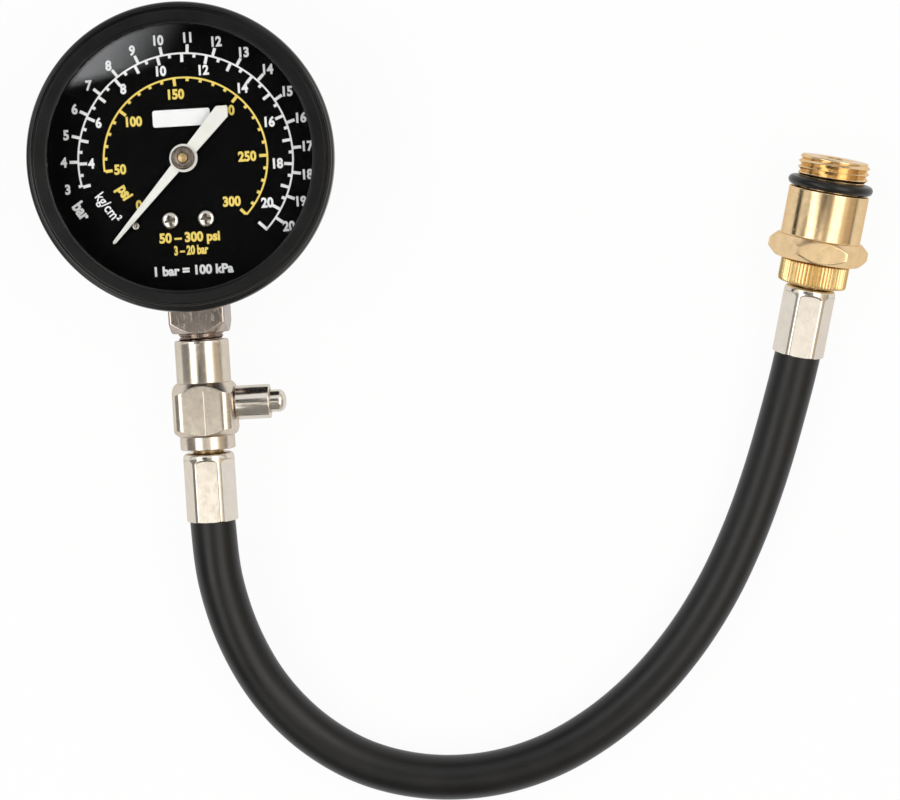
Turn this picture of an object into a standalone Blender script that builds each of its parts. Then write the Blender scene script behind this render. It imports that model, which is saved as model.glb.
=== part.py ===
# Engine compression tester: a dial gauge on a tee with a bleed valve, a rubber hose and a brass
# spark plug hole adapter. Metres, +Z out of the dial, +Y towards 12 o'clock.
# The gauge lies on its back, and its pointer axis is the world Z axis.

from math import atan2, cos, hypot, pi, radians, sin

import bmesh
import bpy
from mathutils import Vector

for old in list(bpy.data.objects):
    bpy.data.objects.remove(old, do_unlink=True)

# Gaps between pieces
seat_gap = 0.0003      # between faces that touch on the real thing
fit_gap = 0.0001       # round a pressed pin or shaft
run_gap = 0.00006      # round a shaft that turns in a plate
slide_gap = 0.0003     # round the bleed button and the valve pin

# How round the round pieces are
rim_steps = 40
gasket_steps = 32
adapter_steps = 24
hub_steps = 24
body_steps = 20
tube_steps = 18
nipple_steps = 16
small_steps = 12
ring_sides = 7
wire_sides = 4

# Edges that are broken or relieved on the lathe
edge_chamfer = 0.0004
fine_chamfer = 0.0003

# Case, bezel and lens
case_radius = 0.0370
case_wall = 0.0008
case_back = 0.0016
case_above_stem = 0.0145
case_corner = 0.0040
case_flange = 0.0010
case_flange_length = 0.0033
case_flange_slope = 0.0007
bezel_wall = 0.0009
bezel_taper = 0.0005
bezel_crimp = 0.0010
bezel_crimp_thickness = 0.0006
bezel_lip = 0.0009
bezel_lip_width = 0.0054
bezel_bevel = 0.0004
bezel_band_inset = 0.0022
bezel_bead_inset = 0.0020
bezel_groove = 0.0004
bezel_bead_fall = 0.0007
bezel_bead = 0.0008
bezel_shoulder = 0.0020
gasket_thickness = 0.0010
gasket_width = 0.0019
lens_thickness = 0.0022

# Socket, with the square shank that leaves the case
stem_height = 0.0140
shank_width = 0.0143
shank_reach = 0.0070
shank_chamfer_radius = 0.0072
shank_edge = 0.0006
neck_radius = 0.0057
neck_length = 0.0090
neck_chamfer = 0.0005
gas_bore = 0.0020
block_above_stem = 0.0063
block_inner_end = 0.0140
tongue_reach = 0.0050
tongue_width = 0.0120
tongue_drop = 0.0055
tongue_thickness = 0.0030
restrictor_length = 0.0030
restrictor_hole = 0.0004

case_screw_x = 0.0040
case_screw_inset = 0.0130
case_screw_head = 0.0024
case_screw_length = 0.0062

# Bourdon tube and its tip
tube_inset = 0.0100
tube_tip_y = 0.0005
tube_height = 0.0100
tube_depth = 0.0036
tube_wall = 0.0005
tube_root_inset = 0.0030
cap_wall = 0.0007
cap_cover = 0.0030
cap_end = 0.0025
ear_width = 0.0030

# Movement: a toothed sector turns the pinion on the pointer's arbor
tooth_module = 0.0004
pinion_teeth = 12
sector_full_teeth = 60
sector_teeth = 12
arbor_direction = radians(-30)
pointer_travel = radians(272)
tail_radius = 0.0055
gear_drop = 0.0010
gear_thickness = 0.0010
plate_thickness = 0.0010
top_plate_thickness = 0.0012
arbor_radius = 0.0012
pivot_radius = 0.0007
sector_arbor_radius = 0.0010
pin_radius = 0.0005
link_thickness = 0.0008
link_width = 0.0026
pillar_radius = 0.0016
pillar_places = ((-0.0085, 0.0075), (0.0100, 0.0078), (-0.0095, -0.0085))
plate_left = -0.0120
plate_right = 0.0165
plate_top = 0.0105
plate_corner = 0.0030
bottom_plate_end = -0.0137
top_plate_end = -0.0176
movement_screw_x = 0.0035
movement_screw_y = -0.0115
hairspring_rise = 0.0030
hairspring_height = 0.0008
hairspring_strip = 0.00025
hairspring_outer = 0.0068
hairspring_turns = 3
collet_radius = 0.0017
stud_radius = 0.0006

# Dial, screws and pointer
dial_edge_gap = 0.0004
dial_thickness = 0.0008
dial_centre_hole = 0.0025
dial_screw_x = 0.0045
dial_screw_y = -0.0153
screw_head_radius = 0.0021
screw_head_height = 0.0011
screw_shank_radius = 0.0010
screw_length = 0.0060
screw_side_share = 0.55
screw_top_share = 0.72
movement_screw_head = 0.0018
movement_screw_height = 0.0009
movement_screw_grip = 0.0022
stop_inset = 0.0076
stop_pin_rise = 0.0009
rest_angle = radians(-90 - 43)
pointer_clearance = 0.0004
pointer_thickness = 0.0006
pointer_edge_gap = 0.0063
pointer_tip_width = 0.0012
pointer_root_width = 0.0027
pointer_boss = 0.0035
tail_length = 0.0165
tail_inner_width = 0.0033
tail_outer_width = 0.0039
hub_radius = 0.0029
hub_height = 0.0010

# Tee body, a square bar turned at both ends
tee_gap = 0.0018
tee_top_length = 0.0110
tee_body_length = 0.0134
tee_low_length = 0.0036
tee_relief = 0.0003
tee_low_slope = 0.7
tee_width = 0.0155
tee_corner = 0.0030
tee_top_radius = 0.0069
tee_low_radius = 0.0070
tee_neck_bore_depth = 0.0080
nipple_bore_depth = 0.0065

# Bleed valve, on the tee's right side
bleed_offset = 0.0056
barrel_radius = 0.00435
barrel_end = 0.0167
barrel_thread_radius = 0.0034
barrel_seat = 0.0052
web_start = 0.0085
web_end = 0.0097
stem_radius = 0.0010
button_radius = 0.00285
button_end = 0.0207
button_head = 0.0149
button_dome = 0.0019
valve_chamber_radius = 0.0026
valve_chamber_start = 0.0022
seal_radius = 0.0021
seal_thickness = 0.0012
stem_flange = 0.0007
bleed_wire = 0.00030
bleed_spring_turns = 4

# Hose and its two crimp fittings
hose_radius = 0.0058
ferrule_flats = 0.0129
ferrule_round = 0.00715
ferrule_length = 0.0176
ferrule_wall = 0.0009
ferrule_flange = 0.0012
ferrule_collar = 0.0012
nipple_radius = 0.0042
nipple_neck = 0.0008
nipple_barb = 0.0037
nipple_barb_step = 0.0006
nipple_bore = 0.0016
nipple_barbs = 3
nipple_tail_plain = 0.0010
barb_share = 0.95
ferrule_shoulder = 0.0010
ferrule_shoulder_length = 0.0014
ferrule_mouth_lip = 0.0005
ferrule_mouth_length = 0.0008

# Far end: knurled nipple and the adapter, measured from the hose's end along their own axis
far_mouth = (0.15146, -0.05811)
far_heading = radians(13.0)
far_pitch = radians(6.0)
knurl_start = 0.0181
knurl_length = 0.0060
knurl_radius = 0.0087
knurl_depth = 0.00035
knurl_ridges = 32
knurl_round = 0.0012
knurl_round_length = 0.0011
hex_start = 0.0244
hex_flats = 0.0220
hex_length = 0.0058
hex_corner_radius = 0.0126
hex_end_radius = 0.0107
hex_edge = 0.0016
barrel_length = 0.0121
adapter_barrel_radius = 0.0101
groove_radius = 0.0080
o_ring_thickness = 0.0024
thread_radius = 0.0090
thread_length = 0.0052
thread_chamfer = 0.0006
insert_radius = 0.0058
insert_length = 0.0080
small_ring_thickness = 0.0016
valve_bore = 0.0040
valve_bore_depth = 0.0120
valve_body_inset = 0.0012
valve_body_length = 0.0070
valve_pin_radius = 0.0007
valve_seat_depth = 0.0012
valve_web = 0.0012
valve_seal_thickness = 0.0008
valve_wire = 0.00025
valve_spring_turns = 3

# Places that follow from the sizes above
case_height = stem_height + case_above_stem
case_body_radius = case_radius - case_flange
flange_low = case_height - case_flange_length
block_top = stem_height + block_above_stem
tongue_high = stem_height - tongue_drop
tongue_low = tongue_high - tongue_thickness
gear_low = stem_height - gear_drop
hairspring_low = stem_height + hairspring_rise
tube_radius = case_radius - tube_inset
dial_radius = case_body_radius - case_wall - dial_edge_gap
pointer_reach = dial_radius - pointer_edge_gap
stop_radius = pointer_reach - stop_inset
shank_end = case_radius + shank_reach
neck_end = shank_end + neck_length
tee_start = shank_end + tee_gap
tee_body_start = tee_start + tee_top_length
tee_body_end = tee_body_start + tee_body_length
tee_end = tee_body_end + tee_low_length
bleed_place = tee_body_start + bleed_offset
case_screw_y = case_screw_inset - case_radius
block_bottom = case_back + seat_gap
bezel_inner = case_radius + seat_gap
bezel_radius = bezel_inner + bezel_wall
bezel_opening = bezel_radius - bezel_lip_width
gasket_low = case_height + seat_gap
gasket_outer = case_radius - seat_gap
lens_low = gasket_low + gasket_thickness + seat_gap
lens_radius = bezel_inner - 2 * seat_gap
bezel_lip_low = lens_low + lens_thickness + seat_gap
bezel_face = bezel_lip_low + bezel_lip
bottom_plate_low = tongue_high + seat_gap
bottom_plate_high = bottom_plate_low + plate_thickness
top_plate_low = block_top + seat_gap
top_plate_high = top_plate_low + top_plate_thickness
dial_low = top_plate_high + seat_gap
dial_high = dial_low + dial_thickness
screw_head_low = dial_high + seat_gap
pointer_low = screw_head_low + screw_head_height + pointer_clearance
pointer_high = pointer_low + pointer_thickness
stop_pin_top = pointer_high + stop_pin_rise
hub_low = pointer_high + seat_gap
hub_high = hub_low + hub_height
pinion_pitch = tooth_module * pinion_teeth / 2
sector_pitch = tooth_module * sector_full_teeth / 2
sector_travel = pointer_travel * pinion_teeth / sector_full_teeth
arbor_x = (pinion_pitch + sector_pitch) * cos(arbor_direction)
arbor_y = (pinion_pitch + sector_pitch) * sin(arbor_direction)
gear_high = gear_low + gear_thickness
tail_pin_x = arbor_x + tail_radius * cos(sector_travel / 2)
tail_pin_y = arbor_y - tail_radius * sin(sector_travel / 2)
tube_inner = tube_radius - tube_depth / 2
tip_pin_x = tube_inner - cap_wall - ear_width
tip_pin_y = tube_tip_y - cap_end / 2
link_low = gear_high + seat_gap
link_high = link_low + link_thickness
near_ferrule_start = tee_end + nipple_neck
near_mouth = near_ferrule_start + ferrule_length
nipple_neck_radius = nipple_radius - edge_chamfer
hex_end = hex_start + hex_length
barrel_shoulder = hex_end + barrel_length
thread_start = barrel_shoulder + o_ring_thickness + 2 * seat_gap
thread_end = thread_start + thread_length
far_height = hex_flats / 2 * cos(far_pitch) - (hex_start + edge_chamfer) * sin(far_pitch)


def new_material(name, colour, roughness, metallic=0.0, alpha=1.0):
    material = bpy.data.materials.new(name)
    material.use_nodes = True
    shader = material.node_tree.nodes["Principled BSDF"]
    shader.inputs["Base Color"].default_value = (*colour, 1)
    shader.inputs["Roughness"].default_value = roughness
    shader.inputs["Metallic"].default_value = metallic
    shader.inputs["Alpha"].default_value = alpha
    return material


looks = {
    "black_paint": ((0.012, 0.012, 0.013), 0.3, 0.0),
    "glass": ((0.9, 0.92, 0.92), 0.03, 0.0, 0.2),
    "dial_black": ((0.01, 0.01, 0.011), 0.6, 0.0),
    "white_paint": ((0.85, 0.85, 0.84), 0.5, 0.0),
    "nickel": ((0.72, 0.67, 0.6), 0.22, 1.0),
    "steel": ((0.6, 0.6, 0.6), 0.3, 1.0),
    "brass": ((0.83, 0.62, 0.3), 0.25, 1.0),
    "bronze": ((0.7, 0.5, 0.3), 0.3, 1.0),
    "rubber": ((0.02, 0.02, 0.02), 0.6, 0.0),
}


def link_object(item):
    bpy.context.scene.collection.objects.link(item)
    return item


def axis_frame(name, location, rotation=(0, 0, 0)):
    """An empty whose local +Z is the axis that its children are turned about"""
    holder = link_object(bpy.data.objects.new(name, None))
    holder.location = location
    holder.rotation_euler = rotation
    return holder


def make_object(name, shape, parent=None, location=(0, 0, 0), turn=0.0):
    bmesh.ops.recalc_face_normals(shape, faces=shape.faces)
    if shape.calc_volume(signed=True) < 0:
        bmesh.ops.reverse_faces(shape, faces=shape.faces)
    mesh = bpy.data.meshes.new(name)
    shape.to_mesh(mesh)
    shape.free()
    mesh.shade_smooth()
    mesh.set_sharp_from_angle(angle=radians(30))
    item = link_object(bpy.data.objects.new(name, mesh))
    item.parent = parent
    item.location = location
    item.rotation_euler = (0, 0, turn)
    return item


def make_piece(name, shape, look, parent=None, location=(0, 0, 0), turn=0.0):
    item = make_object(name, shape, parent, location, turn)
    item.data.materials.append(new_material(name, *looks[look]))
    return item


def shape_with(target, name, shape, operation="DIFFERENCE", parent=None, location=(0, 0, 0), turn=0.0):
    """Join a hidden tool shape to the target with a Boolean modifier"""
    tool = make_object("tool_" + name, shape, parent, location, turn)
    tool.hide_render = True
    tool.display_type = "WIRE"
    boolean = target.modifiers.new(name, "BOOLEAN")
    boolean.operation = operation
    boolean.solver = "EXACT"
    boolean.object = tool


def turned(profile, steps, ring=False):
    """Spin (radius, height) points about Z; a ring's profile closes on itself"""
    shape = bmesh.new()
    verts = [shape.verts.new((radius, 0, height)) for radius, height in profile]
    edges = [shape.edges.new(pair) for pair in zip(verts, verts[1:])]
    if ring:
        edges.append(shape.edges.new((verts[-1], verts[0])))
    bmesh.ops.spin(shape, geom=verts + edges, cent=(0, 0, 0), axis=(0, 0, 1), angle=2 * pi,
                   steps=steps, use_merge=True)
    bmesh.ops.remove_doubles(shape, verts=shape.verts, dist=1e-6)
    return shape


def cylinder(radius, low, high, steps=small_steps):
    return turned([(0, low), (radius, low), (radius, high), (0, high)], steps)


def extruded(outline, low, high):
    shape = bmesh.new()
    face = shape.faces.new([shape.verts.new((x, y, low)) for x, y in outline])
    grown = bmesh.ops.extrude_face_region(shape, geom=[face])
    top = [part for part in grown["geom"] if isinstance(part, bmesh.types.BMVert)]
    bmesh.ops.translate(shape, vec=(0, 0, high - low), verts=top)
    return shape


def box(low, high):
    (x0, y0, z0), (x1, y1, z1) = low, high
    return extruded([(x0, y0), (x1, y0), (x1, y1), (x0, y1)], z0, z1)


def arc(centre, radius, start, end, steps):
    return [(centre[0] + radius * cos(start + (end - start) * k / steps),
             centre[1] + radius * sin(start + (end - start) * k / steps)) for k in range(steps + 1)]


def rounded_rectangle(x0, y0, x1, y1, corner, steps=3):
    outline = []
    for cx, cy, start in ((x1 - corner, y1 - corner, 0), (x0 + corner, y1 - corner, pi / 2),
                          (x0 + corner, y0 + corner, pi), (x1 - corner, y0 + corner, 1.5 * pi)):
        outline += arc((cx, cy), corner, start, start + pi / 2, steps)
    return outline


def hexagon(flats):
    corner = flats / 2 / cos(pi / 6)
    return [(corner * cos(k * pi / 3), corner * sin(k * pi / 3)) for k in range(6)]


def polar(radius, angle):
    return radius * cos(angle), radius * sin(angle)


# Local +Z of the stem's frame runs down the stem, away from the dial
stem_axis = axis_frame("stem_axis", (0, 0, stem_height), (pi / 2, 0, 0))
bleed_axis = axis_frame("bleed_axis", (0, -bleed_place, stem_height), (0, pi / 2, 0))
plug_axis = axis_frame("plug_axis", (*far_mouth, far_height), (far_pitch - pi / 2, 0, -far_heading))


def build_case():
    """A drawn cup with a flange that the bezel is crimped round"""
    body = case_body_radius
    fillet = [(body - case_corner + x, case_corner + y)
              for x, y in arc((0, 0), case_corner, -pi / 2, 0, 3)]
    profile = [(0, 0), *fillet, (body, flange_low - case_flange_slope), (case_radius, flange_low),
               (case_radius, case_height), (case_radius - case_wall, case_height),
               (case_radius - case_wall, flange_low + case_wall / 2),
               (body - case_wall, flange_low + case_wall / 2 - case_flange_slope),
               (body - case_wall, case_back), (0, case_back)]
    case = make_piece("case", turned(profile, rim_steps), "black_paint")
    half = shank_width / 2 + seat_gap
    shape_with(case, "shank_window", box((-half, -case_radius - case_wall, stem_height - half),
                                         (half, -case_radius / 2, stem_height + half)))
    for side, x in (("left", -case_screw_x), ("right", case_screw_x)):
        sink = [(0, -seat_gap), (case_screw_head + 2 * seat_gap, -seat_gap),
                (screw_shank_radius + seat_gap, case_back - seat_gap),
                (screw_shank_radius + seat_gap, case_back + seat_gap), (0, case_back + seat_gap)]
        shape_with(case, "case_sink_" + side, turned(sink, small_steps), location=(x, case_screw_y, 0))


def build_bezel():
    """A spun ring: lip over the lens, skirt, and a crimped edge under the case's flange"""
    face = bezel_face
    edge = bezel_radius
    skirt = edge - bezel_taper
    crimp_high = flange_low - seat_gap
    crimp_low = crimp_high - bezel_crimp
    crimp_inner = bezel_inner - bezel_crimp
    slope = case_flange_slope
    profile = [(bezel_opening, bezel_lip_low), (bezel_opening, face - bezel_bevel),
               (bezel_opening + bezel_bevel, face), (edge - bezel_band_inset, face),
               (edge - bezel_bead_inset, face - bezel_groove), (edge - bezel_bead_fall, face - bezel_bead),
               (edge, face - bezel_shoulder), (skirt, crimp_low), (bezel_inner, crimp_low - slope),
               (crimp_inner, crimp_low - slope), (crimp_inner, crimp_low - slope + bezel_crimp_thickness),
               (bezel_inner, crimp_high), (bezel_inner, bezel_lip_low)]
    make_piece("bezel_ring", turned(profile, rim_steps, ring=True), "black_paint")


def build_lens():
    make_piece("lens", cylinder(lens_radius, lens_low, lens_low + lens_thickness, rim_steps), "glass")
    inner = gasket_outer - gasket_width
    high = gasket_low + gasket_thickness
    profile = [(inner, gasket_low), (gasket_outer, gasket_low), (gasket_outer, high), (inner, high)]
    make_piece("lens_gasket", turned(profile, gasket_steps, ring=True), "rubber")


def build_dial():
    profile = [(dial_centre_hole, dial_low), (dial_radius, dial_low), (dial_radius, dial_high),
               (dial_centre_hole, dial_high)]
    dial = make_piece("dial_plate", turned(profile, rim_steps, ring=True), "dial_black")
    for side, x in (("left", -dial_screw_x), ("right", dial_screw_x)):
        hole = cylinder(screw_shank_radius + seat_gap, dial_low - seat_gap, dial_high + seat_gap)
        shape_with(dial, "dial_hole_" + side, hole, location=(x, dial_screw_y, 0))
    pin_x, pin_y = stop_pin_place()
    hole = cylinder(pin_radius + fit_gap, dial_low - seat_gap, dial_high + seat_gap)
    shape_with(dial, "stop_hole", hole, location=(pin_x, pin_y, 0))
    pin = [(0, dial_low), (pin_radius, dial_low), (pin_radius, stop_pin_top - pin_radius),
           (pin_radius / 2, stop_pin_top), (0, stop_pin_top)]
    make_piece("stop_pin", turned(pin, small_steps), "steel", location=(pin_x, pin_y, 0))


def stop_pin_place():
    """The pin stands just below the resting needle, so its offset follows the needle's taper"""
    share = stop_radius / pointer_reach
    half_width = (pointer_root_width + (pointer_tip_width - pointer_root_width) * share) / 2
    aside = half_width + pin_radius + fit_gap
    along = (stop_radius ** 2 - aside ** 2) ** 0.5
    return (along * cos(rest_angle) - aside * sin(rest_angle),
            along * sin(rest_angle) + aside * cos(rest_angle))


def pan_screw(name, x, y, head_low, length, look="steel", head=screw_head_radius, height=screw_head_height):
    profile = [(0, head_low - length), (screw_shank_radius, head_low - length),
               (screw_shank_radius, head_low), (head, head_low), (head, head_low + height * screw_side_share),
               (head * screw_top_share, head_low + height), (0, head_low + height)]
    make_piece(name, turned(profile, small_steps), look, location=(x, y, 0))


def build_screws():
    for side, sign in (("left", -1), ("right", 1)):
        pan_screw("dial_screw_" + side, sign * dial_screw_x, dial_screw_y, screw_head_low, screw_length)
        pan_screw("movement_screw_" + side, sign * movement_screw_x, movement_screw_y,
                  bottom_plate_high + seat_gap, plate_thickness + movement_screw_grip, "brass",
                  movement_screw_head, movement_screw_height)
        sunk = [(0, 0), (case_screw_head, 0), (screw_shank_radius, case_back - seat_gap),
                (screw_shank_radius, case_screw_length), (0, case_screw_length)]
        make_piece("case_screw_" + side, turned(sunk, small_steps), "steel",
                   location=(sign * case_screw_x, case_screw_y, 0))


def build_pointer():
    tip, root = pointer_tip_width / 2, pointer_root_width / 2
    inner, outer = tail_inner_width / 2, tail_outer_width / 2
    outline = [(pointer_reach - tip, -tip), (pointer_reach, 0), (pointer_reach - tip, tip)]
    outline += arc((0, 0), pointer_boss, atan2(root, pointer_boss), pi - atan2(inner, pointer_boss), 7)
    outline += [(-tail_length + outer * 0.6, outer), (-tail_length, outer * 0.45),
                (-tail_length, -outer * 0.45), (-tail_length + outer * 0.6, -outer)]
    outline += arc((0, 0), pointer_boss, pi + atan2(inner, pointer_boss),
                   2 * pi - atan2(root, pointer_boss), 7)
    pointer = make_piece("pointer", extruded(outline, pointer_low, pointer_high), "white_paint",
                         turn=rest_angle)
    bore = cylinder(arbor_radius + fit_gap, pointer_low - seat_gap, pointer_high + seat_gap)
    shape_with(pointer, "pointer_bore", bore)
    profile = [(arbor_radius + fit_gap, hub_low), (hub_radius, hub_low),
               (hub_radius, hub_high - hub_height * 0.3), (hub_radius - hub_height * 0.3, hub_high),
               (arbor_radius + fit_gap, hub_high)]
    make_piece("pointer_hub", turned(profile, hub_steps, ring=True), "steel")


def toothed(centre, pitch_radius, teeth_angles, tooth_angle):
    """Straight-sided teeth, thin enough to run with backlash, as points going anticlockwise"""
    root = pitch_radius - 1.2 * tooth_module
    tip = pitch_radius + 0.85 * tooth_module
    points = []
    for middle in teeth_angles:
        for radius, share in ((root, -0.27), (tip, -0.10), (tip, 0.10), (root, 0.27)):
            x, y = polar(radius, middle + share * tooth_angle)
            points.append((centre[0] + x, centre[1] + y))
    return points


def build_pinion():
    """The arbor, pinion and pointer shaft are one turned and cut piece"""
    shoulder_low = bottom_plate_high + seat_gap
    shoulder_high = top_plate_low - seat_gap
    profile = [(0, bottom_plate_low), (pivot_radius, bottom_plate_low), (pivot_radius, shoulder_low),
               (1.5 * pivot_radius, shoulder_low), (1.5 * pivot_radius, shoulder_high),
               (arbor_radius - run_gap, shoulder_high), (arbor_radius, pointer_low - seat_gap),
               (arbor_radius, hub_high), (0, hub_high + seat_gap)]
    arbor = make_piece("pinion_arbor", turned(profile, small_steps), "brass")
    pitch = 2 * pi / pinion_teeth
    # A gap between two pinion teeth faces the sector at rest
    angles = [arbor_direction + (k + 0.5) * pitch for k in range(pinion_teeth)]
    teeth = extruded(toothed((0, 0), pinion_pitch, angles, pitch), gear_low - seat_gap, gear_high + seat_gap)
    shape_with(arbor, "pinion_teeth", teeth, "UNION")


def build_hairspring():
    low, high = hairspring_low, hairspring_low + hairspring_height
    shaft = 1.5 * pivot_radius + fit_gap
    profile = [(shaft, low - seat_gap), (collet_radius, low - seat_gap), (collet_radius, high + seat_gap),
               (shaft, high + seat_gap)]
    make_piece("hairspring_collet", turned(profile, small_steps, ring=True), "brass")
    inner = collet_radius + seat_gap + hairspring_strip / 2
    steps = hairspring_turns * 16
    middle = [(inner + (hairspring_outer - inner) * k / steps, pi + 2 * pi * hairspring_turns * k / steps)
              for k in range(steps + 1)]
    half = hairspring_strip / 2
    outline = [polar(radius + half, angle) for radius, angle in middle]
    outline += [polar(radius - half, angle) for radius, angle in reversed(middle)]
    shape = bmesh.new()
    count = steps + 1
    rows = [[shape.verts.new((x, y, z)) for x, y in outline] for z in (low, high)]
    for lower, upper in zip(range(steps), range(1, steps + 1)):
        back_lower, back_upper = 2 * count - 1 - lower, 2 * count - 1 - upper
        for row in rows:
            shape.faces.new((row[lower], row[upper], row[back_upper], row[back_lower]))
        for a, b in ((lower, upper), (back_lower, back_upper)):
            shape.faces.new((rows[0][a], rows[0][b], rows[1][b], rows[1][a]))
    for a, b in ((0, 2 * count - 1), (steps, count)):
        shape.faces.new((rows[0][a], rows[0][b], rows[1][b], rows[1][a]))
    make_piece("hairspring", shape, "bronze")
    stud_x = -(hairspring_outer + half + seat_gap + stud_radius)
    stud = cylinder(stud_radius, low - seat_gap, top_plate_low - seat_gap)
    make_piece("hairspring_stud", stud, "brass", location=(stud_x, 0, 0))


def build_sector():
    """Drawn about its arbor, which is also its joint's axis"""
    pitch = 2 * pi / sector_full_teeth
    facing = arbor_direction + pi
    angles = [facing - k * pitch for k in range(sector_teeth - 2, -2, -1)]
    outline = toothed((0, 0), sector_pitch, angles, pitch)
    boss = 2.2 * sector_arbor_radius
    outline += arc((0, 0), boss, facing + radians(30), 2 * pi - sector_travel / 2 - radians(50), 4)
    tail = (tail_radius * cos(sector_travel / 2), -tail_radius * sin(sector_travel / 2))
    outline += arc(tail, 3 * pin_radius, -sector_travel / 2 - pi / 2, -sector_travel / 2 + pi / 2, 5)
    outline += arc((0, 0), boss, -sector_travel / 2 + radians(50), radians(50), 2)
    place = (arbor_x, arbor_y, 0)
    sector = make_piece("sector_gear", extruded(outline, gear_low, gear_high), "brass", location=place)
    bore = cylinder(sector_arbor_radius + fit_gap, gear_low - seat_gap, gear_high + seat_gap)
    shape_with(sector, "sector_bore", bore, location=place)
    hole = cylinder(pin_radius + fit_gap, gear_low - seat_gap, gear_high + seat_gap)
    shape_with(sector, "tail_hole", hole, location=(tail_pin_x, tail_pin_y, 0))
    shoulder_low = bottom_plate_high + seat_gap
    shoulder_high = top_plate_low - seat_gap
    profile = [(0, bottom_plate_low), (pivot_radius, bottom_plate_low), (pivot_radius, shoulder_low),
               (sector_arbor_radius, shoulder_low), (sector_arbor_radius, shoulder_high),
               (pivot_radius, shoulder_high), (pivot_radius, top_plate_high), (0, top_plate_high)]
    make_piece("sector_arbor", turned(profile, small_steps), "steel", location=place)


def headed_pin(name, x, y, low, high, head):
    thick = pin_radius
    profile = [(0, low - seat_gap - thick), (head, low - seat_gap - thick), (head, low - seat_gap),
               (pin_radius, low - seat_gap), (pin_radius, high + seat_gap), (head, high + seat_gap),
               (head, high + seat_gap + thick), (0, high + seat_gap + thick)]
    make_piece(name, turned(profile, small_steps), "steel", location=(x, y, 0))


def build_link():
    """From the sector's tail to the tube's tip; its tip hole is wide, to take the tail's arc"""
    reach = hypot(tip_pin_x - tail_pin_x, tip_pin_y - tail_pin_y)
    lean = atan2(tip_pin_y - tail_pin_y, tip_pin_x - tail_pin_x)
    half = link_width / 2
    outline = arc((reach, 0), half * 1.35, -pi / 2, pi / 2, 6) + arc((0, 0), half, pi / 2, 1.5 * pi, 6)
    place = (tail_pin_x, tail_pin_y, 0)
    link = make_piece("link", extruded(outline, link_low, link_high), "steel", location=place, turn=lean)
    hole = cylinder(pin_radius + run_gap, link_low - seat_gap, link_high + seat_gap)
    shape_with(link, "link_tail_hole", hole, location=place)
    swing = tail_radius * (1 - cos(sector_travel / 2))
    tip_hole = pin_radius + run_gap + swing
    hole = cylinder(tip_hole, link_low - seat_gap, link_high + seat_gap, body_steps)
    shape_with(link, "link_tip_hole", hole, location=(tip_pin_x, tip_pin_y, 0))
    headed_pin("link_pin", tail_pin_x, tail_pin_y, gear_low, link_high, 2 * pin_radius)
    headed_pin("tip_pin", tip_pin_x, tip_pin_y, gear_low, link_high, tip_hole + pin_radius)


def oval(half_height, half_depth):
    """Flat oval of the tube's section: (outward, up) points"""
    straight = half_height - half_depth
    top = arc((0, straight), half_depth, 0, pi, 3)
    return top + arc((0, -straight), half_depth, pi, 2 * pi, 3)


def swept_ovals(path, outer, inner):
    """A tube along (radius, angle) stations: an outer and an inner skin joined at both ends"""
    shape = bmesh.new()
    skins = []
    for section in (outer, inner):
        rings = []
        for radius, angle in path:
            rings.append([shape.verts.new((*polar(radius + out, angle), stem_height + up))
                          for out, up in section])
        skins.append(rings)
        for ring, following in zip(rings, rings[1:]):
            for k in range(len(section)):
                n = (k + 1) % len(section)
                shape.faces.new((ring[k], ring[n], following[n], following[k]))
    for end in (0, -1):
        for k in range(len(outer)):
            n = (k + 1) % len(outer)
            shape.faces.new((skins[0][end][k], skins[0][end][n], skins[1][end][n], skins[1][end][k]))
    return shape


def build_tube():
    block_side = shank_width / 2
    root_x = -block_side + tube_root_inset
    start = 1.5 * pi + root_x / tube_radius
    end = tube_tip_y / tube_radius
    path = [(tube_radius, start + (end - start) * k / tube_steps) for k in range(tube_steps + 1)]
    outer = oval(tube_height / 2, tube_depth / 2)
    inner = oval(tube_height / 2 - tube_wall, tube_depth / 2 - tube_wall)
    make_piece("bourdon_tube", swept_ovals(path, outer, inner), "bronze")
    # The cap covers the tube's last stretch and carries the ear for the link
    out = tube_depth / 2 + seat_gap + cap_wall
    up = tube_height / 2 + seat_gap + cap_wall
    low = (tube_radius - out, tube_tip_y - cap_end, stem_height - up)
    high = (tube_radius + out, tube_tip_y + cap_cover, stem_height + up)
    cap = make_piece("tube_tip_cap", box(low, high), "brass")
    pocket_out = tube_depth / 2 + seat_gap
    pocket_up = tube_height / 2 + seat_gap
    bow = tube_radius * (1 - cos(cap_cover / tube_radius))
    pocket = box((tube_radius - pocket_out - bow, tube_tip_y - seat_gap, stem_height - pocket_up),
                 (tube_radius + pocket_out, tube_tip_y + 2 * cap_cover, stem_height + pocket_up))
    shape_with(cap, "tip_pocket", pocket)
    ear = box((tip_pin_x - 2.4 * pin_radius, tube_tip_y - cap_end + seat_gap, gear_low),
              (tube_radius - out + cap_wall / 2, tube_tip_y - seat_gap, gear_high))
    shape_with(cap, "tip_ear", ear, "UNION")
    hole = cylinder(pin_radius + fit_gap, gear_low - seat_gap, gear_high + seat_gap)
    shape_with(cap, "ear_hole", hole, location=(tip_pin_x, tip_pin_y, 0))


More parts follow.
